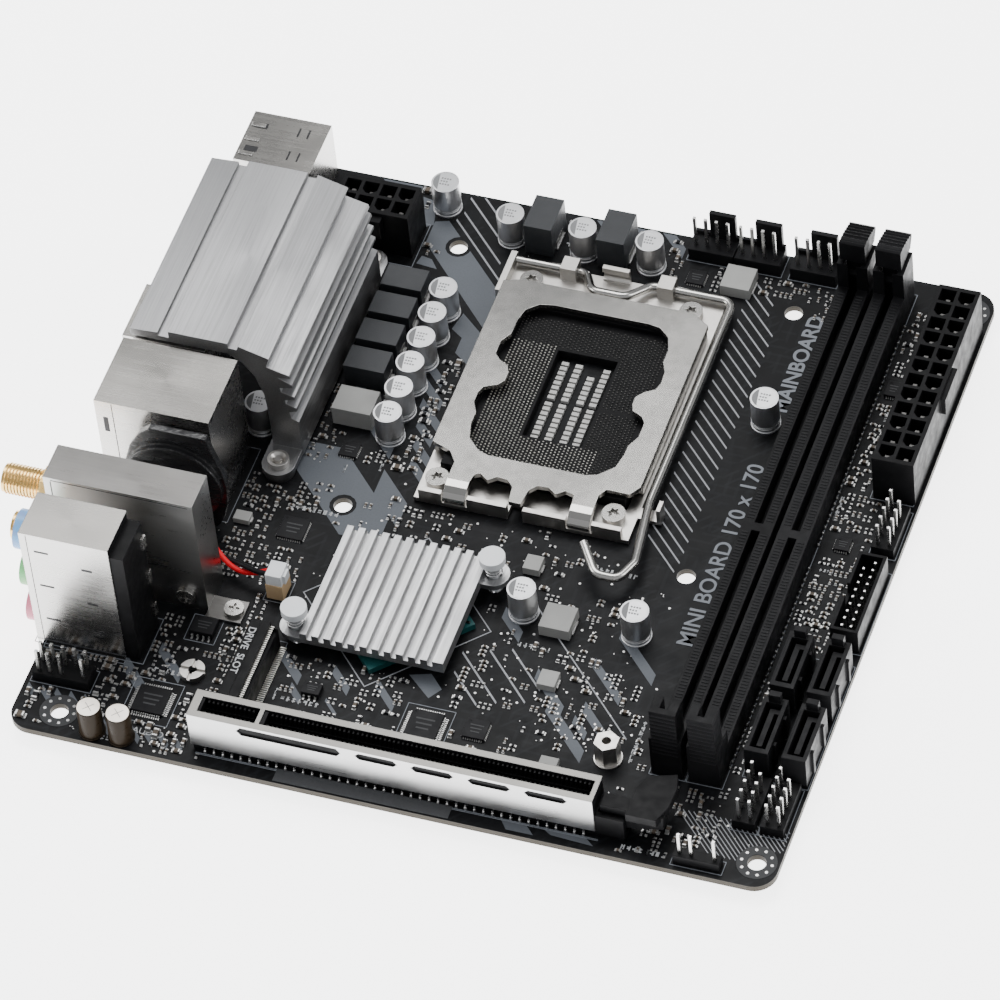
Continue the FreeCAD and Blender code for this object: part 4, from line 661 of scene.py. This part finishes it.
KEEP_OUT = [
    ("cpu_socket_body", 1.0), ("ilm_frame", 0.6), ("vrm_heatsink_screws", 1.0), ("dimm_slot_a", 0.8),
    ("dimm_slot_b", 0.8), ("pcie_slot_body", 1.0), ("m2_connector", 1.6), ("m2_standoff", 1.2),
    ("m2_nut", 1.4), ("wifi_shield", 0.2), ("audio_jack_body", 0.6), ("audio_jack_shell", 0.6),
    ("lan_usb_shell", 0.8), ("eps_power_connector", 1.0), ("atx_power_connector", 0.8), ("sata_ports", 0.6),
    ("usb3_header", 0.6), ("battery_socket", 0.9), ("chipset", -8.0), ("audio_capacitors", 0.6),
]
blocked = [margin(node, grow) for node, grow in KEEP_OUT]
# and the headers, push pins, tall chokes, printed words and hatch
blocked += [
    ((14.8, 78.0), (49.8, 85.0)), ((78.4, 6.6), (85.0, 20.3)), ((71.9, -71.8), (85.0, -58.0)),
    ((-83.9, -72.5), (-70.2, -66.4)), ((62.8, -85.0), (74.0, -80.3)), ((-46.5, 31.0), (-36.5, 64.0)),
    ((-57.0, -4.0), (-46.5, 1.5)), ((-57.0, 54.0), (-46.5, 61.0)), ((42.6, -40.0), (50.8, 66.0)),
    ((30.4, -12.0), (42.6, 72.0)),
    ((-37.0, -51.0), (-28.5, -42.0)), ((0.0, -26.5), (8.0, -18.0)), ((-30.6, -50.2), (2.4, -18.4)),
]
ROUND_OUT = [(x, y, 4.6) for x, y in MOUNT_HOLES] + [(x, y, 4.2) for x, y in COOLER_HOLES]
PART_LIMIT = 84.2


def islands(name):
    """The box of each separate solid in a node, in mm: low corner, then high corner."""
    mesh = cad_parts[name].data
    parent = list(range(len(mesh.vertices)))

    def root(i):
        while parent[i] != i:
            parent[i] = parent[parent[i]]
            i = parent[i]
        return i

    spots = {}
    for vertex in mesh.vertices:
        key = tuple(round(c / MM, 3) for c in vertex.co)
        if key in spots:
            parent[root(vertex.index)] = root(spots[key])
        else:
            spots[key] = vertex.index
    for edge in mesh.edges:
        parent[root(edge.vertices[0])] = root(edge.vertices[1])
    found = {}
    for vertex in mesh.vertices:
        x, y, z = (c / MM for c in vertex.co)
        box = found.setdefault(root(vertex.index), [x, y, z, x, y, z])
        for axis, number in enumerate((x, y, z)):
            box[axis] = min(box[axis], number)
            box[axis + 3] = max(box[axis + 3], number)
    return list(found.values())


SOLIDS = {
    name: islands(name)
    for name in ("polymer_capacitors", "aux_chokes", "input_chokes", "vcore_chokes", "ic_packages",
                 "audio_capacitors", "sata_ports", "vrm_mosfets")
}
for name, grow in (("polymer_capacitors", 0.6), ("aux_chokes", 0.7), ("input_chokes", 0.7),
                   ("vcore_chokes", 0.5), ("ic_packages", 1.6), ("audio_capacitors", 0.5)):
    for x0, y0, z0, x1, y1, z1 in SOLIDS[name]:
        blocked.append(((x0 - grow, y0 - grow), (x1 + grow, y1 + grow)))
taken = []


def middles(name):
    """Middle, width, depth and top of each solid in a node."""
    for x0, y0, z0, x1, y1, z1 in SOLIDS[name]:
        yield (x0 + x1) / 2, (y0 + y1) / 2, x1 - x0, y1 - y0, z1


def is_free(x, y, half_x, half_y):
    """Whether a part of that half size fits at (x, y), clear of pieces, holes and earlier parts."""
    if abs(x) > PART_LIMIT - half_x or abs(y) > PART_LIMIT - half_y:
        return False
    for (x0, y0), (x1, y1) in blocked:
        if x0 - half_x < x < x1 + half_x and y0 - half_y < y < y1 + half_y:
            return False
    for cx, cy, radius in ROUND_OUT:
        if math.hypot(x - cx, y - cy) < radius + half_x:
            return False
    for cx, cy, hx, hy in taken:
        if abs(x - cx) < half_x + hx and abs(y - cy) < half_y + hy:
            return False
    return True


ceramic_bodies, resistor_bodies, end_caps, pads, marks = Piece(), Piece(), Piece(), Piece(), Piece()
# length, width and height of the usual chip sizes
SIZES = {"0402": (1.0, 0.5, 0.5), "0603": (1.6, 0.8, 0.8), "0805": (2.0, 1.25, 1.0)}
PART_GRID, PART_GAP = 0.65, 0.32


def chip_part(x, y, size, along_x, ceramic):
    """A ceramic capacitor or resistor with plated ends, soldered on two pads."""
    long, wide, tall = SIZES[size]
    if not ceramic:
        tall *= 0.7
    cap = long * 0.24
    bodies = ceramic_bodies if ceramic else resistor_bodies
    turn = (lambda a, b: (a, b)) if along_x else (lambda a, b: (b, a))
    bodies.tapered(x, y, *turn(long - 2 * cap + 0.02, wide * 0.94), 0.04, tall * 0.97, 0.05)
    for side in (-1, 1):
        shift = side * (long - cap) / 2
        ox, oy = turn(shift, 0.0)
        end_caps.tapered(x + ox, y + oy, *turn(cap, wide), 0.04, tall, 0.06)
        px, py = turn(side * (long / 2 + 0.06), 0.0)
        pads.tapered(x + px, y + py, *turn(cap + 0.22, wide + 0.14), 0.0, 0.16, 0.05)


def scatter(low, high, count, sizes, share_ceramic=0.65, notes=0.16):
    """Rows of small parts inside a rectangle, on a coarse grid, with marks beside some."""
    placed = 0
    for attempt in range(count * 8):
        if placed >= count:
            break
        size = rng.choice(sizes)
        along_x = rng.random() < 0.5
        long, wide, tall = SIZES[size]
        half_x, half_y = ((long, wide) if along_x else (wide, long))
        half_x, half_y = half_x / 2 + PART_GAP, half_y / 2 + PART_GAP
        x = round(rng.uniform(low[0], high[0]) / PART_GRID) * PART_GRID
        y = round(rng.uniform(low[1], high[1]) / PART_GRID) * PART_GRID
        run = rng.choice((1, 1, 2, 3, 4))
        ceramic = rng.random() < share_ceramic
        step_x, step_y = ((0.0, 2 * half_y) if along_x else (2 * half_x, 0.0))
        for index in range(run):
            px, py = x + index * step_x, y + index * step_y
            if px > high[0] or py > high[1] or not is_free(px, py, half_x, half_y):
                break
            chip_part(px, py, size, along_x, ceramic)
            taken.append((px, py, half_x, half_y))
            placed += 1
        if rng.random() < notes:
            mx, my = x + rng.uniform(-2.2, 2.2), y + rng.uniform(-2.2, 2.2)
            if is_free(mx, my, 1.4, 1.4):
                mark(marks, mx, my, 0.95, rng.choice("xy"), rng.choice((3, 4)))
                taken.append((mx, my, 1.2, 0.6))


SMALL = ("0402", "0402", "0402", "0603")
MIXED = ("0402", "0603", "0603", "0805")
# low corner, high corner, number of parts and their sizes
ZONES = [
    ((-57.0, -34.0), (-38.0, -4.0), 90, SMALL), ((-53.0, -58.0), (-42.0, -37.0), 62, SMALL),
    ((-84.0, -83.0), (-42.0, -62.0), 120, MIXED), ((-66.0, -62.0), (-42.0, -46.0), 60, SMALL),
    ((-34.0, -62.0), (-4.0, -50.0), 40, SMALL), ((-34.0, -73.0), (22.0, -61.0), 66, SMALL),
    ((4.0, -58.0), (34.0, -20.0), 78, SMALL), ((26.0, -73.0), (51.0, -38.0), 58, SMALL),
    ((-36.0, -17.0), (24.0, -4.0), 60, SMALL), ((-30.0, 4.0), (-19.0, 36.0), 44, MIXED),
    ((-48.0, 2.0), (-30.0, 30.0), 44, SMALL), ((-46.0, 60.0), (-37.0, 68.0), 14, SMALL),
    ((-18.0, 70.0), (14.0, 84.0), 14, MIXED), ((12.0, 68.0), (51.0, 78.0), 60, SMALL),
    ((68.0, -22.0), (77.6, 22.0), 90, SMALL), ((67.6, 22.0), (73.6, 76.0), 70, SMALL),
    ((67.5, -58.0), (70.2, -22.0), 22, SMALL), ((50.0, -84.0), (70.0, -62.6), 52, SMALL),
    ((-62.0, 62.0), (-45.0, 84.0), 14, MIXED), ((-20.0, 8.0), (-17.6, 56.0), 14, SMALL),
]
for low, high, count, sizes in ZONES:
    scatter(low, high, count, sizes)
ceramic_bodies.done("smd_ceramic", CERAMIC, "ceramic")
resistor_bodies.done("smd_resistors", RESISTOR, "chip_resin")
end_caps.done("smd_ends", SOLDER, "tin_pins")
pads.done("smd_pads", SOLDER, "tin_pins")

# via and test dots
dots, hole_rings = Piece(), Piece()
for low, high, count in (
    ((-60.0, -60.0), (40.0, -5.0), 300), ((-84.0, -84.0), (-42.0, -60.0), 90),
    ((25.0, -70.0), (50.0, -14.0), 80), ((66.0, -84.0), (84.0, 80.0), 120),
    ((-50.0, 0.0), (-20.0, 34.0), 40), ((-20.0, 66.0), (50.0, 84.0), 60),
):
    for index in range(count):
        x, y = rng.uniform(low[0], high[0]), rng.uniform(low[1], high[1])
        if is_free(x, y, 0.15, 0.15):
            dots.disc(x, y, rng.choice((0.14, 0.16, 0.3)), 0.0, 0.09, 8)
DOT_RING = 3.3
for cx, cy in MOUNT_HOLES:
    hole_rings.ring(cx, cy, 4.3, 2.06, 0.0, 0.08, 36)
    for angle in circle(10):
        dots.disc(cx + DOT_RING * math.cos(angle), cy + DOT_RING * math.sin(angle), 0.36, 0.0, 0.1, 10)
hole_rings.done("hole_rings", GREY_LABEL, "board")
dots.done("board_dots", SOLDER, "tin_pins")

for x, y, count, along in (
    (-46.0, -12.0, 9, "x"), (-60.0, -62.6, 7, "x"), (14.0, -36.0, 6, "x"), (-12.0, 76.0, 8, "x"),
    (66.5, -60.0, 7, "y"), (46.5, -60.0, 9, "y"), (68.6, 14.0, 6, "y"), (22.0, -12.0, 9, "x"),
    (-30.0, -63.0, 7, "x"), (-22.0, -82.6, 9, "x"), (52.0, -82.0, 8, "x"), (-66.0, -83.0, 5, "x"),
):
    mark(marks, x, y, 1.5, along, count)
marks.done("ink_marks", WHITE_INK, "board")


def words(name, text, x, y, size, turn, material, bold=0.0, high=0.08):
    """Plain generic lettering lying on the board."""
    curve = bpy.data.curves.new(name, "FONT")
    curve.body = text
    curve.size = size * MM
    curve.extrude = 0.02 * MM
    curve.offset = bold * MM
    on_board(name, curve, material, (x * MM, y * MM, high * MM), turn)


words("ink_model", "MINI BOARD 170 x 170", 49.7, -27.5, 5.2, 90, TITLE_INK, 0.06)
words("ink_title", "MAINBOARD", 49.6, 40.5, 4.9, 90, TITLE_INK, 0.12)
words("ink_note", "AUDIO", -58.0, -80.0, 2.2, 0, WHITE_INK)

# ------------ processor socket contacts

contacts, shaded_contacts = Piece(), Piece()
PITCH_X, PITCH_Y = 0.86, 0.78
CONTACT_LOW, CONTACT_HIGH = 2.6, 2.84
for column in range(40):
    for row in range(54):
        x = SOCKET_X - 17.2 + PITCH_X * column
        y = SOCKET_Y - 20.6 + PITCH_Y * row + (PITCH_Y / 2 if column % 2 else 0.0)
        if x > SOCKET_X + 17.4 or y > SOCKET_Y + 21.2:
            continue
        if abs(x - SOCKET_X) < 7.4 and -12.7 < y - SOCKET_Y < 13.8:
            continue
        if abs(y - SOCKET_Y + 1.0) < 0.5 and x > SOCKET_X:
            continue
        # painted light: contacts on the left and near side are drawn in pale contact metal as lit, the rest
        # in dark pin metal as painted shade, though all are the same contacts
        dx, dy = x - SOCKET_X, y - SOCKET_Y
        lit = (dx < -7.0 and dy < 14.5) or (dy < -12.5 and dx < 11.0)
        target = contacts if lit else shaded_contacts
        target.tapered(x, y, 0.34, 0.26, CONTACT_LOW, CONTACT_HIGH, 0.08)
contacts.done("socket_contacts", PALE_GOLD, "tin_pins")
shaded_contacts.done("socket_contacts_painted_shade", DARK_PIN, "tin_pins")

ribs = Piece()
for row in range(26):
    for side in (-1, 1):
        ribs.box(SOCKET_X + side * 20.1, SOCKET_Y - 21.0 + 1.7 * row, 0.9, 0.7, 3.95, 4.12)
ribs.done("socket_ribs", BLACK, "black_plastic")


# ------------ slots

slot_ribs, slot_contacts, slot_solder = Piece(), Piece(), Piece()
MEMORY_KEY_Y = 2.5
for mid in MEMORY_X:
    for step in range(150):
        y = -55.5 + 0.85 * step
        if abs(y - MEMORY_KEY_Y) < 1.6:
            continue
        for side in (-1, 1):
            slot_ribs.box(mid + side * 2.1, y, 1.5, 0.38, 6.98, 7.12)
            slot_contacts.box(mid + side * 1.12, y + 0.42, 0.3, 0.34, 3.4, 6.85)
    for step in range(76):
        y = -56.5 + 1.7 * step
        if abs(y - MEMORY_KEY_Y) < 2.4:
            continue
        slot_solder.dome(mid + 3.95, y, 0.42, 0.0, 0.75, 8)
slot_ribs.done("memory_ribs", RIDGE_GREY, "black_plastic")
slot_contacts.done("memory_contacts", PALE_GOLD, "tin_pins")
slot_solder.done("memory_solder", SOLDER, "tin_pins")

card_ribs, card_contacts, card_solder = Piece(), Piece(), Piece()
EXPANSION_Y = -77.25
for low, high in ((-41.2, -29.8), (-27.0, 44.6)):
    for step in range(int(high - low)):
        x = low + 0.5 + step
        for side in (-1, 1):
            card_ribs.box(x, EXPANSION_Y + side * 1.55, 0.42, 0.7, 8.6, 10.7)
            card_contacts.box(x + 0.5, EXPANSION_Y + side * 1.1, 0.4, 0.25, 4.0, 8.4)
for step in range(43):
    x = -40.8 + 2.0 * step
    card_solder.dome(x, -81.15, 0.4, 0.0, 0.9, 8)
    card_solder.box(x, -80.95, 0.42, 0.5, 0.2, 1.2)
    card_solder.dome(x + 1.0, -73.1, 0.36, 0.0, 0.7, 8)
card_ribs.done("expansion_ribs", BLACK, "black_plastic")
card_contacts.done("expansion_contacts", PALE_GOLD, "tin_pins")
card_solder.done("expansion_solder", SOLDER, "tin_pins")

drive_pins, drive_label = Piece(), Piece()
for step in range(38):
    y = -70.9 + 0.56 * step
    drive_pins.box(-34.4, y, 1.5, 0.26, 0.02, 0.32)
    drive_pins.box(-36.2, y, 0.9, 0.26, 6.62, 6.78)
drive_label.box(-39.7, -60.6, 2.2, 20.6, 7.6, 7.68)
drive_pins.done("drive_pins", PALE_GOLD, "tin_pins")
drive_label.done("drive_label", BLACK, "black_plastic")
words("drive_text", "DRIVE  SLOT", -40.45, -52.0, 2.3, -90, WHITE_INK, 0.03, 7.7)


# ------------ cans, chokes and chips

can_tops, can_marks, can_print, can_beads = Piece(), Piece(), Piece(), Piece()
CAN_RADIUS = 3.15
for x, y, wide, deep, top in middles("polymer_capacitors"):
    can_tops.disc(x, y, CAN_RADIUS * 0.9, top - 0.02, top + 0.03, 32)
    can_marks.disc(x, y, CAN_RADIUS * 0.86, top, top + 0.06, 14, 130.0, 118.0)
    for line in range(3):
        for letter in range(4 - line % 2):
            can_print.box(x - 0.9 + 0.62 * letter, y + 0.95 - 0.85 * line, 0.4, 0.42, top, top + 0.055)
    can_beads.ring(x, y, CAN_RADIUS + 0.06, CAN_RADIUS - 0.1, 1.55, 1.85, 32)
can_tops.done("can_tops", CAN, "capacitor_can")
can_marks.done("can_dark_marks", CAN_SHADE, "chip_resin")
can_print.done("can_print", CAN_SHADE, "chip_resin")
can_beads.done("can_beads", CAN, "capacitor_can")

audio_tops, audio_marks = Piece(), Piece()
for x, y, wide, deep, top in middles("audio_capacitors"):
    audio_tops.disc(x, y, min(wide, deep) / 2 * 0.86, top - 0.02, top + 0.03, 32)
    for turn in (45, -45):
        audio_marks.box(x, y, 2.8, 0.14, top, top + 0.05, turn)
audio_tops.done("audio_can_tops", CREAM, "capacitor_gold")
audio_marks.done("audio_can_marks", CAN_SHADE, "chip_resin")

choke_feet = Piece()
for name in ("vcore_chokes", "input_chokes", "aux_chokes"):
    for x, y, wide, deep, top in middles(name):
        for side in (-1, 1):
            choke_feet.box(x + side * (wide / 2 + 0.12), y, 0.5, deep * 0.55, 0.0, 0.5)
            choke_feet.box(x + side * (wide / 2 + 0.03), y, 0.08, deep * 0.5, 0.0, min(2.4, top * 0.5))
choke_feet.done("choke_terminals", SOLDER, "tin_pins")

legs, chip_print = Piece(), Piece()
for x, y, wide, deep, top in middles("ic_packages"):
    # wide chips and low ones have fine legs on all four sides; tall narrow ones have two rows
    fine, tall = wide > 6.4, top > 1.3
    pitch = 1.27 if tall and not fine else 0.5
    thick = 0.24 if pitch < 1 else 0.42
    reach = 1.0 if fine or tall else 0.25
    count = int((wide - 0.8) / pitch) + 1
    for step in range(count):
        shift = (step - (count - 1) / 2) * pitch
        for length, low, high in ((reach, 0.02, 0.16), (reach * 0.4, 0.1, top * 0.5)):
            for side in (-1, 1):
                legs.box(x + shift, y + side * (deep + length) / 2, thick, length, low, high)
                if fine or not tall:
                    legs.box(x + side * (wide + length) / 2, y + shift, length, thick, low, high)
    for line in range(3):
        long = wide * (0.6 - 0.1 * line)
        chip_print.box(x, y + deep * (0.18 - 0.18 * line), long, deep * 0.06, top, top + 0.02)
for x0, y0, z0, x1, y1, z1 in SOLIDS["vrm_mosfets"]:
    for step in range(5):
        legs.box(x1 + 0.2, y0 + 0.8 + step * (y1 - y0 - 1.6) / 4, 0.5, 0.3, 0.0, 0.2)
legs.done("chip_legs", SOLDER, "tin_pins")
chip_print.done("chip_print", GREY_LABEL, "chip_resin")

# ceramics along the chipset's edge, outside its heatsink, on three of its four sides
chipset_parts = Piece()
CHIPSET_REACH = 16.2
for step in range(9):
    for dx, dy in ((1, -1), (1, 1), (-1, -1)):
        x = CHIPSET_X + dx * (CHIPSET_REACH - 1.3 * step)
        y = CHIPSET_Y + dy * (1.3 * step)
        if -30.4 < x < 2.1 and -50.0 < y < -18.5 and step % 2:
            continue
        chipset_parts.tapered(x, y, 0.9, 0.5, 1.5, 1.9, 0.05)
chipset_parts.done("chipset_ceramics", SOLDER, "tin_pins")


# ------------ rear boxes and connectors

seams, notches = Piece(), Piece()
low, high = box_mm("lan_usb_shell")
for step in range(4):
    y = low[1] + 2.4 + 5.2 * step
    notches.box(high[0] + 0.02, y, 0.06, 1.9, high[2] - 1.3, high[2] - 0.5)
notches.box(low[0] + 2.2, low[1] - 0.02, 1.1, 0.06, 21.0, 25.5)
seams.box(low[0] + 4.0, low[1] - 0.02, 0.16, 0.06, 0.6, high[2] - 0.4)
notches.box(high[0] - 6.0, low[1] - 0.02, 2.6, 0.06, 5.0, 5.6)
low, high = box_mm("audio_jack_shell")
for height in (8.0, 19.0, 30.0):
    notches.box(low[0] + 4.6, low[1] - 0.02, 3.2, 0.06, height, height + 0.5)
    notches.box(low[0] + 14.6, low[1] - 0.02, 2.4, 0.06, height - 3.0, height - 2.4)
seams.box(low[0] + 1.6, low[1] - 0.02, 0.14, 0.06, 0.5, high[2] - 0.5)
low, high = box_mm("wifi_shield")
seams.box(-85.6, low[1] + 1.98, 0.2, 0.06, 2.0, 33.0)
seams.box(-70.0, -44.62, 31.0, 0.06, 33.35, 33.5)
# the far port box: slots in its top, springs along its rear edge and seams down its side
BOX_TOP = 15.3
for y in (72.6, 79.8):
    for x, wide, deep in ((-84.4, 3.0, 1.6), (-75.5, 0.4, 2.6), (-73.2, 0.4, 2.6)):
        notches.box(x, y, wide, deep, BOX_TOP, BOX_TOP + 0.06)
for x in (-80.0, -72.4):
    seams.box(x, 68.68, 0.16, 0.06, 0.4, 15.0)
seams.done("shell_seams", BLACK_METAL, "tin_plate")
notches.done("shell_notches", BLACK_METAL, "tin_plate")

fingers = Piece()
for y in (71.0, 75.4, 79.8):
    fingers.tapered(-85.0, y, 3.4, 1.2, BOX_TOP, BOX_TOP + 0.32, 0.12)
fingers.done("shell_springs", TIN, "tin_plate")

threads = Piece()
AERIAL_Y, AERIAL_HEIGHTS, THREAD_PITCH = -40.0, (25.5, 9.8), 0.74
for height in AERIAL_HEIGHTS:
    for step in range(11):
        middle = -97.6 + THREAD_PITCH * step
        threads.bridge([
            [threads.corner(middle + shift, AERIAL_Y + radius * math.cos(a), height + radius * math.sin(a))
             for a in circle(28)]
            for shift, radius in ((-0.22, 3.17), (0.0, 3.42), (0.22, 3.17))
        ])
threads.done("aerial_threads", GOLD, "gold")

SPRING_STEPS, SPRING_TURNS, SPRING_SIDES = 24, 4, 10
SPRING_RING, SPRING_WIRE = 1.7, 0.25
SPRING_LOW, SPRING_HIGH, PRESSED = 4.4, 8.4, 1.5


def coil_spring(side, cx, cy):
    """A round coil between the heatsink's ear and the pin's head."""
    piece = Piece()
    climb = SPRING_HIGH - SPRING_LOW - 2 * SPRING_WIRE
    last = SPRING_STEPS * SPRING_TURNS
    loops = []
    for step in range(last + 1):
        turn = 2 * math.pi * step / SPRING_STEPS
        level = SPRING_LOW + SPRING_WIRE + climb * step / last
        loop = []
        for a in circle(SPRING_SIDES):
            ring = SPRING_RING + SPRING_WIRE * math.cos(a)
            across, along = ring * math.cos(turn), ring * math.sin(turn)
            loop.append(piece.corner(cx + across, cy + along, level + SPRING_WIRE * math.sin(a)))
        loops.append(loop)
    piece.solid(loops)
    made = piece.done("pin_coil_" + side, SPRING, "spring_steel", smooth=True)
    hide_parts("push_pin_spring_" + side)
    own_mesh(made)


coil_spring("left", -32.4, -46.4)
coil_spring("right", 4.0, -22.2)

sticker = Piece()
sticker.box(-5.1, -82.95, 39.0, 3.3, 0.05, 0.13)
sticker.done("edge_label", FRONT_LABEL, "board")

drive_edges = Piece()
DRIVE_PORT_TOP = 8.5
for x0, y0, z0, x1, y1, z1 in SOLIDS["sata_ports"]:
    drive_edges.box((x0 + x1) / 2 - 0.3, y1 - 0.45, 3.6, 0.25, DRIVE_PORT_TOP, DRIVE_PORT_TOP + 0.06)
    drive_edges.box(x0 + 0.25, (y0 + y1) / 2, 0.2, 11.0, DRIVE_PORT_TOP, DRIVE_PORT_TOP + 0.04)
drive_edges.done("drive_port_edges", RIDGE_GREY, "grey_plastic")

ridges = Piece()
for mid in MEMORY_X:
    for step in range(11):
        ridges.box(mid, -61.72, 5.6, 0.08, 7.0 + 1.2 * step, 7.5 + 1.2 * step)
ridges.done("memory_tower_ridges", RIDGE_GREY, "black_plastic")


# ------------ battery leads

# the leads wind round a curve with these four anchors, from the cell to the plug
LEAD_ANCHORS = ((-69.6, -25.6, 7.4), (-61.0, -25.8, 6.4), (-55.0, -35.6, 0.6), (-41.6, -35.4, 6.0))
LEAD_STEPS, LEAD_TWIST = 12, 52.5
LEAD_SWING, LEAD_WIDE = 0.8, 1.2


def lead(name, phase, material, node):
    """One of the two twisted leads; phase is the angle, in degrees, at which its twist begins."""
    curve = bpy.data.curves.new(name, "CURVE")
    curve.dimensions = "3D"
    curve.bevel_depth = LEAD_WIDE / 2 * MM
    curve.bevel_resolution = 5
    curve.use_fill_caps = True
    spline = curve.splines.new("NURBS")
    spline.points.add(LEAD_STEPS)
    for step in range(LEAD_STEPS + 1):
        t = step / LEAD_STEPS
        weights = ((1 - t) ** 3, 3 * t * (1 - t) ** 2, 3 * t * t * (1 - t), t ** 3)
        middle = [sum(w * p[i] for w, p in zip(weights, LEAD_ANCHORS)) for i in range(3)]
        turn = math.radians(phase + LEAD_TWIST * step)
        point = (middle[0], middle[1] + LEAD_SWING * math.cos(turn), middle[2] + LEAD_SWING * math.sin(turn))
        spline.points[step].co = (*(c * MM for c in point), 1.0)
    spline.order_u = 3
    spline.use_endpoint_u = True
    spline.resolution_u = 12
    made = on_board(name, curve, material)
    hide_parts(node)


lead("battery_lead_red", 90.0, RED, "battery_wire_red")
lead("battery_lead_black", 270.0, BLACK_WIRE, "battery_wire_black")


# ------------ floor, light and camera

FLOOR_HALF, FLOOR_LEVEL = 6.0, CAD_BOX[0][2] - 0.0005
floor_mesh = bpy.data.meshes.new("floor")
corners = [(FLOOR_HALF * a, FLOOR_HALF * b, FLOOR_LEVEL) for a, b in ((-1, -1), (1, -1), (1, 1), (-1, 1))]
floor_mesh.from_pydata(corners, [], [(0, 1, 2, 3)])
floor = new_object("floor", floor_mesh)
pale = Shader("pale_floor", (0.92, 0.92, 0.92), 0.7)
pale.bsdf.inputs["Emission Color"].default_value = (1.0, 1.0, 1.0, 1.0)
pale.bsdf.inputs["Emission Strength"].default_value = 4.0
pale.tint(pale.ramp(pale.noise(pale.coords, 3.0, 2.0), 0.4, 0.7, 0.0, 0.1), (0.86, 0.86, 0.86))
floor_mesh.materials.append(pale.finish())

world = bpy.data.worlds.new("studio")
bpy.context.scene.world = world
world.use_nodes = True
background = world.node_tree.nodes["Background"]
background.inputs["Color"].default_value = (0.95, 0.97, 1.0, 1.0)
background.inputs["Strength"].default_value = 0.55


def softbox(name, place, wide, deep, power):
    """A rectangular light at a place, aimed at the board's middle."""
    data = bpy.data.lights.new(name, "AREA")
    data.shape = "RECTANGLE"
    data.size, data.size_y = wide, deep
    data.energy = power
    made = new_object(name, data)
    made.location = place
    made.rotation_euler = (-Vector(place)).to_track_quat("-Z", "Y").to_euler()


softbox("top_box", (-0.15, 0.35, 0.9), 0.7, 0.5, 9.0)
softbox("left_box", (-0.9, -0.2, 0.5), 0.5, 0.6, 5.0)
softbox("right_box", (0.8, 0.2, 0.6), 0.3, 0.6, 3.0)

# the view: a long lens, far off, turned a little about its axis
TARGET = Vector((-2.86, 1.16, 0.0)) * MM
AZIMUTH, ELEVATION, ROLL = math.radians(23.68), math.radians(49.21), math.radians(-6.72)
DISTANCE = 1.6051
eye = TARGET + DISTANCE * Vector((
    math.cos(ELEVATION) * math.sin(AZIMUTH), -math.cos(ELEVATION) * math.cos(AZIMUTH), math.sin(ELEVATION)))
camera_data = bpy.data.cameras.new("camera")
camera_data.sensor_width = 36.0
camera_data.lens = 267.74
camera_data.clip_start, camera_data.clip_end = 0.05, 30.0
camera = new_object("camera", camera_data)
aim = (TARGET - eye).to_track_quat("-Z", "Y").to_matrix().to_4x4()
camera.matrix_world = Matrix.Translation(eye) @ aim @ Matrix.Rotation(ROLL, 4, "Z")
bpy.context.scene.camera = camera
